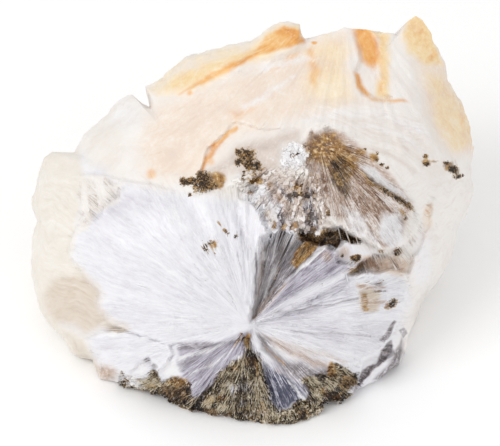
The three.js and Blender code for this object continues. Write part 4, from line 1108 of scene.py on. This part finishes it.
# A mesh of triangles with its marks and material, riding on the root; flat unless sharpAngle is
# given, in degrees.
def addPiece(name, points, triangles, marks, material, sharpAngle=None):
    mesh = bpy.data.meshes.new(name)
    mesh.vertices.add(len(points))
    mesh.vertices.foreach_set("co", (points * millimetre).astype(np.float32).ravel())
    mesh.loops.add(triangles.size)
    mesh.loops.foreach_set("vertex_index", triangles.astype(np.int32).ravel())
    mesh.polygons.add(len(triangles))
    mesh.polygons.foreach_set("loop_start", np.arange(0, triangles.size, 3, dtype=np.int32))
    mesh.update(calc_edges=True)
    for mark, values in marks.items():
        attribute = mesh.attributes.new(mark, "FLOAT", "POINT")
        attribute.data.foreach_set("value", np.asarray(values, np.float32))
    if sharpAngle is None:
        mesh.shade_flat()
    else:
        mesh.shade_smooth()
        mesh.set_sharp_from_angle(angle=math.radians(sharpAngle))
    mesh.validate()
    mesh.materials.append(material)
    piece = addObject(name, mesh)
    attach(piece, "root")
    print("made", name, len(triangles), "triangles")
    return piece


# A square grid bent to a disc, rows + 1 points a side: ring from 0 in the middle to 1 on
# the border, and turn, from the larger of the two offsets and the share of the smaller.
def discGrid(rows):
    step = np.linspace(-1, 1, rows + 1)
    a, b = np.meshgrid(step, step)
    ring = np.maximum(np.abs(a), np.abs(b))
    wide = np.abs(a) > np.abs(b)
    safe = np.where(ring == 0, 1, ring)
    turn = np.where(
        wide, math.pi / 4 * b / safe * np.sign(a) + np.where(a < 0, math.pi, 0),
        math.pi / 2 * np.sign(b) - math.pi / 4 * a / safe * np.sign(b))
    return ring, turn


# Two triangles a quad, on the diagonal that points towards the grid's middle.
def gridTriangles(rows):
    index = np.arange((rows + 1) ** 2).reshape(rows + 1, rows + 1)
    a, b, c, d = index[:-1, :-1], index[:-1, 1:], index[1:, 1:], index[1:, :-1]
    middle = (rows - 1) / 2
    i, j = np.mgrid[0:rows, 0:rows] - middle
    towards = i * j > 0
    first = np.where(towards[..., None], np.stack([a, b, c], -1), np.stack([a, b, d], -1))
    second = np.where(towards[..., None], np.stack([a, c, d], -1), np.stack([b, c, d], -1))
    return index, np.concatenate([first.reshape(-1, 3), second.reshape(-1, 3)])


# Indices round a square grid's border, starting at its lower left corner.
def borderLoop(index):
    return np.concatenate([index[0, :-1], index[:-1, -1], index[-1, :0:-1], index[:0:-1, 0]])


# The whole stone as one closed mesh: a fine disc grid for the face and one of half as many
# rows for the back, whose border quads are split so that both share every rim point.
def stoneMesh():
    rows = stoneForm["frontRows"]
    ring, turn = discGrid(rows)
    step = stoneForm["middleStep"]
    opening = step * ring + (math.pi / 2 - step) * ring**2
    frontIndex, frontFaces = gridTriangles(rows)
    backRing, backTurn = discGrid(rows // 2)
    backOpening = math.pi - backRing * math.pi / 2
    backIndex, backFaces = gridTriangles(rows // 2)
    count = frontIndex.size
    rimLoop, backLoop = borderLoop(frontIndex), borderLoop(backIndex)
    renumber = np.arange(backIndex.size) + count
    renumber[backLoop] = rimLoop[::2]
    inner = np.ones(backIndex.size, bool)
    inner[backLoop] = False
    renumber[inner] = count + np.arange(inner.sum())
    backFaces = renumber[backFaces][:, ::-1]
    # a rim edge of the back is split at the front's extra rim point between its ends
    after = {(a, c): b for a, b, c in zip(rimLoop[::2], rimLoop[1::2], np.roll(rimLoop[::2], -1))}
    whole, split = [], []
    onRim = np.zeros(count + inner.sum(), bool)
    onRim[rimLoop] = True
    candidates = onRim[backFaces].sum(1) >= 2
    for face in backFaces[candidates]:
        pieces = [list(face)]
        for a, b in ((0, 1), (1, 2), (2, 0)):
            p, q = face[a], face[b]
            extra = after.get((p, q), after.get((q, p)))
            if extra is not None:
                pieces = [part for poly in pieces for part in splitEdge(poly, p, q, extra)]
        split.extend(pieces)
    faces = np.concatenate([frontFaces, backFaces[~candidates], np.array(split)])
    openings = np.concatenate([opening.ravel(), backOpening.ravel()[inner]])
    turns = np.concatenate([turn.ravel(), backTurn.ravel()[inner]])
    return openings, turns, faces


# A triangle cut in two from the point on its edge pq to the far corner, or left whole.
def splitEdge(corners, p, q, extra):
    if p not in corners or q not in corners:
        return [corners]
    return [[extra if c == q else c for c in corners], [extra if c == p else c for c in corners]]


openings, turns, stoneFaces = stoneMesh()
stonePoints, stonePlace = stoneSurface(openings, turns)
low, high = stonePoints.min(0), stonePoints.max(0)
boxMiddle = (np.array(stoneLow) + np.array(stoneHigh)) / 2 / millimetre
stoneShift = boxMiddle - (low + high) / 2
stoneShift[2] = -low[2]
stoneMarks = faceMarks(stonePlace, stonePoints[:, 2])
stoneMarks["shade"] = np.zeros(len(stonePoints))
crystalFinish = crystalMaterial("thomsonite crystal", stoneShift * millimetre, crystal["subsurface"])
needleFinish = crystalMaterial("thomsonite needles", stoneShift * millimetre, 0)
stone = addPiece("grown_stone", stonePoints + stoneShift, stoneFaces, stoneMarks, crystalFinish, 50)
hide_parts("thomsonite_stone")


# Opening and turn of a face point: the ring whose reach meets it, by repeated division.
def faceDirection(u, v):
    turn = np.arctan2(v - heartV, u - heartU)
    reach, even, rim = np.hypot(v - heartV, u - heartU), smoothReach(turn), rimReach(turn)
    ring = reach / even
    for _ in range(8):
        ring = reach / (even + (rim - even) * np.minimum(ring, 1) ** stoneForm["rimPull"])
    return np.arcsin(np.clip(ring, 0, 0.999)), turn


# Points of the stone's face in the part's frame for face coordinates of any shape.
def facePoints(u, v):
    flatU, flatV = np.ravel(u), np.ravel(v)
    points, place = stoneSurface(*faceDirection(flatU, flatV))
    return points.reshape(*np.shape(u), 3), place


# Face coordinates of what the camera sees at (u, v): the seen place again and again less the
# error that it leaves.
def unseenPlace(seenU, seenV):
    u, v = seenU, seenV
    for _ in range(3):
        place = facePoints(u, v)[1]
        u, v = u + seenU - place["u"], v + seenV - place["v"]
    return u, v


# Turns all the triangles of closed shapes outwards if together they enclose less than nothing.
def facingOut(points, triangles):
    a, b, c = (points[triangles[:, corner]] for corner in range(3))
    volume = np.einsum("ij,ij->i", a, np.cross(b, c)).sum()
    return triangles if volume > 0 else triangles[:, ::-1]


# Triangles of rods: each has stations of corner points, joined in a closed tube and capped.
def rodTriangles(rods, stations, corners):
    index = np.arange(rods * stations * corners).reshape(rods, stations, corners)
    a, d = index[:, :-1], index[:, 1:]
    b, c = np.roll(a, -1, 2), np.roll(d, -1, 2)
    sides = [np.stack(t, -1).reshape(-1, 3) for t in ((a, b, c), (a, c, d))]
    caps = []
    for k in range(1, corners - 1):
        caps.append(index[:, 0][:, [0, k + 1, k]])
        caps.append(index[:, -1][:, [0, k, k + 1]])
    return np.concatenate(sides + caps)


# Needles lie along the face in lines from a growth centre. Each is a straightened rod of three
# stations with a roof-shaped section, thin where it starts and snapped off askew.
needleSets = dict(
    white_needles=dict(
        fan="lower", count=5000, seed=11, turns=(90, 208), near=2.5, far=27, bundle=5,
        length=(1.6, 7.0), width=(0.06, 0.22), rise=0.05, stray=1.4, pitch=0.0, spill=0.5,
        shade=0.5, inside=["leftFan", "lowerLobe", "whiteSliver"]),
    lilac_needles=dict(
        fan="lower", count=6000, seed=12, turns=(-150, 95), near=1.0, far=21, bundle=4,
        length=(1.2, 7.0), width=(0.06, 0.24), rise=0.09, stray=1.4, pitch=0.0, spill=0.35,
        shade=0.55, inside=["rightFan", "lilacBlade", "darkValley", "greyBundle"]),
    brown_needles=dict(
        fan="upper", count=4200, seed=13, turns=(-135, 10), near=3.6, far=17, bundle=6,
        length=(0.9, 4.6), width=(0.04, 0.15), rise=0.07, stray=4.0, pitch=0.03, spill=0.6,
        shade=1.0, inside=["brownFan", "recess"]),
    block_needles=dict(
        fan="upper", count=1500, seed=14, turns=(-200, -60), near=2.5, far=17, bundle=3,
        length=(0.5, 2.0), width=(0.1, 0.36), rise=0.08, stray=12.0, pitch=0.05, spill=0.2,
        shade=0.8, inside=["brokenBlocks"]),
    foot_fibres=dict(
        fan="lower", count=9500, seed=15, turns=(-160, -20), near=1.2, far=18, bundle=5,
        length=(0.6, 3.0), width=(0.05, 0.15), rise=0.2, stray=16, pitch=0.35, spill=0.3,
        shade=1.5, inside=["foot"]),
)
extraOutlines = dict(
    foot=crustOutline,
    darkBreak=[38, 242, 50, 285, 65, 308, 90, 306, 96, 275, 86, 250, 75, 238],
)


def outlineOf(area):
    return extraOutlines.get(area) or faceFeatures[area]["outline"]


needleForm = dict(
    overdraw=14,  # tries for each needle, because most fall outside their areas
    stations=(0, 0.5, 1.0), swell=(0.3, 1.0, 0.75),  # share of the width at each station
    roof=0.18, ridgeOff=0.25,  # shares of the width: half the roof's top, and how far it is off
    sunk=0.12, askew=0.8,  # depth of the rod's foot in the face, and skew of its ends
    straight=0.5,  # how far a rod is pulled straight between its ends
    probe=0.4,  # distance to each side at which the face's slope is read
    rimRing=0.985,  # rods end inside this ring of the face
    drift=0.35, driftSize=(4, 9),  # how far noise bends the bundles, and the noise's size
    lengthPower=1.5,  # long bundles are rarer the higher this is
    near=(0.35, 12),  # share of the length at the centre, and the distance that adds one whole
    startSwing=0.2, startNear=(0.4, 1), lengthSwing=(0.6, 1.15),
    bend=3, bendSize=4,  # degrees by which noise turns the needles, and the noise's size
    shadeSwing=0.6, riseSwing=(0.3, 1), riseShade=0.4, tilt=(-0.3, 1), roofAskew=0.4,
)


# One set: tries by chance of turn and distance, in bundles that share a length and a shade,
# kept where the whole needle lies inside an area.
def addNeedles(name, settings):
    rng, seed = np.random.default_rng(settings["seed"]), settings["seed"]
    tries = settings["count"] * needleForm["overdraw"]
    centre = growthCentres[settings["fan"]]
    turn = rng.uniform(*settings["turns"], tries)
    far = np.sqrt(rng.uniform(settings["near"] ** 2, settings["far"] ** 2, tries))
    sizeFar, sizeTurn = needleForm["driftSize"]
    drift = needleForm["drift"] * noise(far / sizeFar, turn / sizeTurn, seed + 0.5)
    bundle = np.floor(turn / settings["bundle"] + drift)
    reach = between(settings["length"], chance(bundle, 3, seed) ** needleForm["lengthPower"])
    least, fullAt = needleForm["near"]
    reach = reach * np.minimum(1, least + far / fullAt)
    row = np.floor(far / reach + chance(bundle, 7, seed))
    swing = rng.normal(0, needleForm["startSwing"], tries)
    start = (row - chance(bundle, 7, seed)) * reach + swing * reach
    start = np.maximum(start, settings["near"] * rng.uniform(*needleForm["startNear"], tries))
    length = reach * rng.uniform(*needleForm["lengthSwing"], tries)
    bundleShade = 2 * chance(bundle, row, seed + 2) - 1
    turn = np.radians(turn)
    u0, v0 = centre[0] + start * np.cos(turn), centre[1] + start * np.sin(turn)
    heading = turn + np.radians(rng.normal(0, settings["stray"], tries))
    bendSize = needleForm["bendSize"]
    heading += np.radians(needleForm["bend"]) * noise(u0 / bendSize, v0 / bendSize, seed + 0.5)
    u1, v1 = u0 + length * np.cos(heading), v0 + length * np.sin(heading)
    fits = np.zeros(tries, bool)
    for area in settings["inside"]:
        whole = np.ones(tries, bool)
        spare = rng.normal(0, settings["spill"], tries)
        for share in needleForm["stations"]:
            u, v = u0 + share * (u1 - u0), v0 + share * (v1 - v0)
            whole &= depthInside(outlineOf(area), u, v) > spare
        fits |= whole
    fits &= np.sin(faceDirection(u1, v1)[0]) < needleForm["rimRing"]
    chosen = np.flatnonzero(fits)[:settings["count"]]
    u0, v0, u1, v1, heading, bundleShade = (
        x[chosen] for x in (u0, v0, u1, v1, heading, bundleShade))
    shades = settings["shade"] * (
        bundleShade + rng.normal(0, needleForm["shadeSwing"], len(chosen)))
    rods, places = len(chosen), np.array(needleForm["stations"])
    u = u0[:, None] + places * (u1 - u0)[:, None]
    v = v0[:, None] + places * (v1 - v0)[:, None]
    middle, place = facePoints(u, v)
    probe = needleForm["probe"]
    sideU, sideV = -np.sin(heading)[:, None] * probe, np.cos(heading)[:, None] * probe
    side = unit(facePoints(u + sideU, v + sideV)[0] - facePoints(u - sideU, v - sideV)[0])
    straight = middle[:, :1] + places[:, None] * (middle[:, -1:] - middle[:, :1])
    middle = needleForm["straight"] * straight + (1 - needleForm["straight"]) * middle
    along = unit(middle[:, -1:] - middle[:, :1])
    up = np.cross(along, side)
    up *= np.sign(up @ leanBack(0, 0, 1))[..., None]
    width = rng.uniform(*settings["width"], (rods, 1, 1))
    risen = needleForm["riseShade"] * bundleShade[:, None, None]
    rise = settings["rise"] * (rng.uniform(*needleForm["riseSwing"], (rods, 1, 1)) + risen)
    tilt = settings["pitch"] * rng.uniform(*needleForm["tilt"], (rods, 1, 1)) * places[:, None]
    middle = middle + up * tilt
    swell = np.array(needleForm["swell"])[:, None]
    off, most = needleForm["ridgeOff"], needleForm["askew"]
    ridge = rng.uniform(-off, off, (rods, 1, 1)) * width
    askew = along * (places == 1)[:, None] * rng.uniform(-most, most, (rods, 1, 1)) * width
    roof, lifted, sunk = width * needleForm["roof"], up * rise * swell, up * needleForm["sunk"]
    roofAskew = askew * needleForm["roofAskew"]
    corners = [
        middle - side * width * swell / 2 - sunk - askew,
        middle + side * (ridge - roof) * swell + lifted - roofAskew,
        middle + side * (ridge + roof) * swell + lifted + roofAskew,
        middle + side * width * swell / 2 - sunk + askew,
    ]
    points = np.stack(corners, 2).reshape(-1, 3)
    marks = faceMarks({key: np.repeat(values, 4) for key, values in place.items()}, points[:, 2])
    marks["shade"] = np.repeat(shades, len(places) * 4)
    triangles = facingOut(points, rodTriangles(rods, len(places), 4))
    addPiece(name, points + stoneShift, triangles, marks, needleFinish)


for setName, setting in needleSets.items():
    addNeedles(setName, setting)


# Directions that lean away by chance from straight out of the face.
def outOfFace(lift, count, rng):
    return unit(leanBack(0, 0, 1) + rng.normal(0, lift, (count, 3)))


# Three sizes for each grain: one by chance, stretched by chance each way.
def grainSizes(form, count, rng):
    return rng.uniform(*form["size"], (count, 1)) * rng.uniform(*form["stretch"], (count, 3))


# Six-sided chips, each lying along a direction of its own, with every corner moved by chance.
def addChips(name, places, ups, alongs, sizes, jitter, marks, material, rng):
    count = len(places)
    second = unit(np.cross(ups, alongs))
    first = np.cross(second, ups)
    cube = np.array([(x, y, z) for z in (-1, 1) for y in (-1, 1) for x in (-1, 1)], float)
    corners = (cube * 0.5 + rng.uniform(-jitter, jitter, (count, 8, 3))) * sizes[:, None]
    points = places[:, None] + sum(
        corners[:, :, axis, None] * direction[:, None]
        for axis, direction in enumerate((first, second, ups)))
    sides = np.array([(0, 2, 3), (0, 3, 1), (4, 5, 7), (4, 7, 6), (0, 1, 5), (0, 5, 4), (2, 6, 7),
                      (2, 7, 3), (0, 4, 6), (0, 6, 2), (1, 3, 7), (1, 7, 5)])
    triangles = (np.arange(count)[:, None, None] * 8 + sides).reshape(-1, 3)
    points = points.reshape(-1, 3)
    marks = {mark: np.repeat(values, 8) for mark, values in marks.items()}
    return addPiece(name, points + stoneShift, facingOut(points, triangles), marks, material)


# Shards and small crystals of the face, in the colours that the face has where they lie:
# length, share of the length across and through, and how far they lie out of line.
shardSets = dict(
    block_shards=dict(
        seed=31, count=1000, inside=["brokenBlocks", "darkBreak"], fan="upper", length=(0.25, 0.8),
        slim=(0.3, 0.7), stray=35, lift=0.3, raised=0.0, shade=0.7),
    druse_crystals=dict(
        seed=32, count=420, inside=["druse"], fan="upper", length=(0.16, 0.5), slim=(0.6, 1.0),
        stray=180, lift=0.5, raised=0.05, shade=0.8),
)
# tries for each chip, swing of the outline, swing of their direction, of their corners and
# the power that makes long chips rare
shardForm = dict(overdraw=12, border=0.2, lean=0.15, jitter=0.2, lengthPower=2)


def addShards(name, settings):
    rng = np.random.default_rng(settings["seed"])
    corners = np.concatenate([cornersOf(outlineOf(area)) for area in settings["inside"]])
    u, v = rng.uniform(corners.min(0), corners.max(0), (settings["count"] * shardForm["overdraw"], 2)).T
    fits = np.zeros(len(u), bool)
    for area in settings["inside"]:
        fits |= depthInside(outlineOf(area), u, v) > rng.normal(0, shardForm["border"], len(u))
    u, v = u[fits][:settings["count"]], v[fits][:settings["count"]]
    count = len(u)
    places, place = facePoints(u, v)
    centre = growthCentres[settings["fan"]]
    heading = np.arctan2(v - centre[1], u - centre[0])
    heading += np.radians(rng.normal(0, settings["stray"], count))
    alongs = np.cos(heading)[:, None] * leanBack(1, 0, 0) + (
        np.sin(heading)[:, None] * leanBack(0, 1, 0)) + rng.normal(0, shardForm["lean"], (count, 3))
    ups = outOfFace(settings["lift"], count, rng)
    longness = rng.uniform(0, 1, (count, 1)) ** shardForm["lengthPower"]
    length = between(settings["length"], longness)
    slim = rng.uniform(*settings["slim"], (count, 2))
    sizes = length * np.concatenate([np.ones((count, 1)), slim], 1)
    marks = faceMarks(place, places[:, 2])
    marks["shade"] = rng.normal(0, settings["shade"], count)
    places = places + ups * settings["raised"]
    addChips(name, places, ups, alongs, sizes, shardForm["jitter"], marks, needleFinish, rng)


for setName, setting in shardSets.items():
    addShards(setName, setting)


# Outward normals of the stone's own mesh, point by point.
def surfaceNormals():
    a, b, c = (stonePoints[stoneFaces[:, corner]] for corner in range(3))
    across = np.cross(b - a, c - a)
    normals = np.zeros_like(stonePoints)
    for corner in range(3):
        np.add.at(normals, stoneFaces[:, corner], across)
    return unit(normals)


footGrains = dict(
    seed=21, count=4200, size=(0.08, 0.3), stretch=(0.5, 1.3), spread=0.12, patch=1.6,
    shade=0.4, jitter=0.22, crustFrom=(0.35, 0.7), slateTo=(0.6, 0.2), overBase=0.4,
)
spotGrains = dict(
    seed=22, least=3, perArea=60, size=(0.06, 0.2), stretch=(0.6, 1.2), lift=0.3, shade=0.8,
    jitter=0.2, beyond=1.3,  # square of the share of the ellipse that they reach
    edgeSize=(1.15, 0.5),  # size at the middle, and how much less it is at the ellipse
)


# Grains of the matrix crust, on points of the stone taken by chance where the crust is.
def addFootGrains():
    rng = np.random.default_rng(footGrains["seed"])
    overBase = stonePoints[:, 2] + stoneShift[2] > footGrains["overBase"]
    weight = smoothStep(*footGrains["crustFrom"], stoneMarks["crust"]) * overBase
    weight = weight * smoothStep(*footGrains["slateTo"], stoneMarks["slate"])
    chosen = rng.choice(len(stonePoints), footGrains["count"], p=weight / weight.sum())
    count = len(chosen)
    sizes = grainSizes(footGrains, count, rng)
    places = stonePoints[chosen] + rng.normal(0, footGrains["spread"], (count, 3))
    marks = {mark: values[chosen] for mark, values in stoneMarks.items()}
    patch = footGrains["patch"]
    marks["shade"] = layeredNoise(*places.T, [(patch, patch)]) + rng.normal(0, footGrains["shade"], count)
    addChips("foot_grains", places, surfaceNormals()[chosen], rng.normal(size=(count, 3)), sizes,
             footGrains["jitter"], marks, needleFinish, rng)


# Oxide grains: for each dark spot, chips spread by chance over its ellipse, small at its edge.
def addSpotGrains():
    rng = np.random.default_rng(spotGrains["seed"])
    us, vs, edges = [], [], []
    for spotU, spotV, wide, high, turn, dark in colourSpots["stain"]:
        count = int(spotGrains["least"] + spotGrains["perArea"] * wide * high * math.pi * dark)
        radius = np.sqrt(rng.uniform(0, spotGrains["beyond"], count))
        around = rng.uniform(0, 2 * math.pi, count)
        a, b = wide * radius * np.cos(around), high * radius * np.sin(around)
        a, b = turned(a, b, turn)
        us.append(spotU + a)
        vs.append(spotV + b)
        edges.append(radius)
    u, v, edge = (np.concatenate(x) for x in (us, vs, edges))
    places, place = facePoints(*unseenPlace(u, v))
    count = len(u)
    ups = outOfFace(spotGrains["lift"], count, rng)
    atMiddle, less = spotGrains["edgeSize"]
    sizes = grainSizes(spotGrains, count, rng) * (atMiddle - less * edge)[:, None]
    marks = dict(shade=rng.normal(0, spotGrains["shade"], count))
    addChips("oxide_grains", places, ups, rng.normal(size=(count, 3)), sizes,
             spotGrains["jitter"], marks, oxideMaterial(), rng)


addFootGrains()
addSpotGrains()

# The floor's lengths and the lights' aim are metres, the other lengths millimetres.
studio = dict(
    floorSize=3, floorColour=(0.98, 0.98, 0.98), floorRoughness=0.8, floorNoise=400,
    floorBump=0.00002, floorDrop=0.00002, world=0.82, aim=(0, 0, 0.015),
    keyPlace=(-300, -250, 420), keySize=260, keyPower=1.05,
    fillPlace=(350, -350, 250), fillSize=400, fillPower=0.25,
)


def addCamera():
    middle = leanBack(*view["middle"]) + stoneShift
    away = leanBack(0, 0, 1)
    cameraData = bpy.data.cameras.new("camera")
    cameraData.sensor_width = view["sensor"]
    cameraData.lens = view["sensor"] * view["distance"] / view["frameWidth"]
    cameraData.clip_start, cameraData.clip_end = (clip * millimetre for clip in view["clip"])
    camera = addObject("camera", cameraData)
    camera.location = Vector((middle + away * view["distance"]) * millimetre)
    camera.rotation_euler = (math.radians(90 - stoneForm["faceLean"]), 0, 0)
    bpy.context.scene.camera = camera


def addLight(name, place, size, power):
    lightData = bpy.data.lights.new(name, "AREA")
    lightData.size, lightData.energy = size * millimetre, power
    light = addObject(name, lightData)
    light.location = Vector(place) * millimetre
    aim = Vector(studio["aim"]) - light.location
    light.rotation_euler = aim.to_track_quat("-Z", "Y").to_euler()


def addFloor():
    half = studio["floorSize"] / 2
    mesh = bpy.data.meshes.new("floor")
    corners = [(-half, -half, 0), (half, -half, 0), (half, half, 0), (-half, half, 0)]
    mesh.from_pydata(corners, [], [(0, 1, 2, 3)])
    shader = Shader("pale floor")
    sockets = {"Base Color": (*studio["floorColour"], 1), "Roughness": studio["floorRoughness"]}
    grain = shader.noise(shader.point, studio["floorNoise"])
    mesh.materials.append(shader.finish(sockets, grain, studio["floorBump"]))
    floor = addObject("floor", mesh)
    floor.location.z = -studio["floorDrop"]


addCamera()
addLight("key", studio["keyPlace"], studio["keySize"], studio["keyPower"])
addLight("fill", studio["fillPlace"], studio["fillSize"], studio["fillPower"])
addFloor()
scene = bpy.context.scene
scene.view_settings.view_transform = "Standard"
world = bpy.data.worlds.new("studio")
world.use_nodes = True
world.node_tree.nodes["Background"].inputs["Color"].default_value = (1, 1, 1, 1)
world.node_tree.nodes["Background"].inputs["Strength"].default_value = studio["world"]
scene.world = world
print("set the studio")
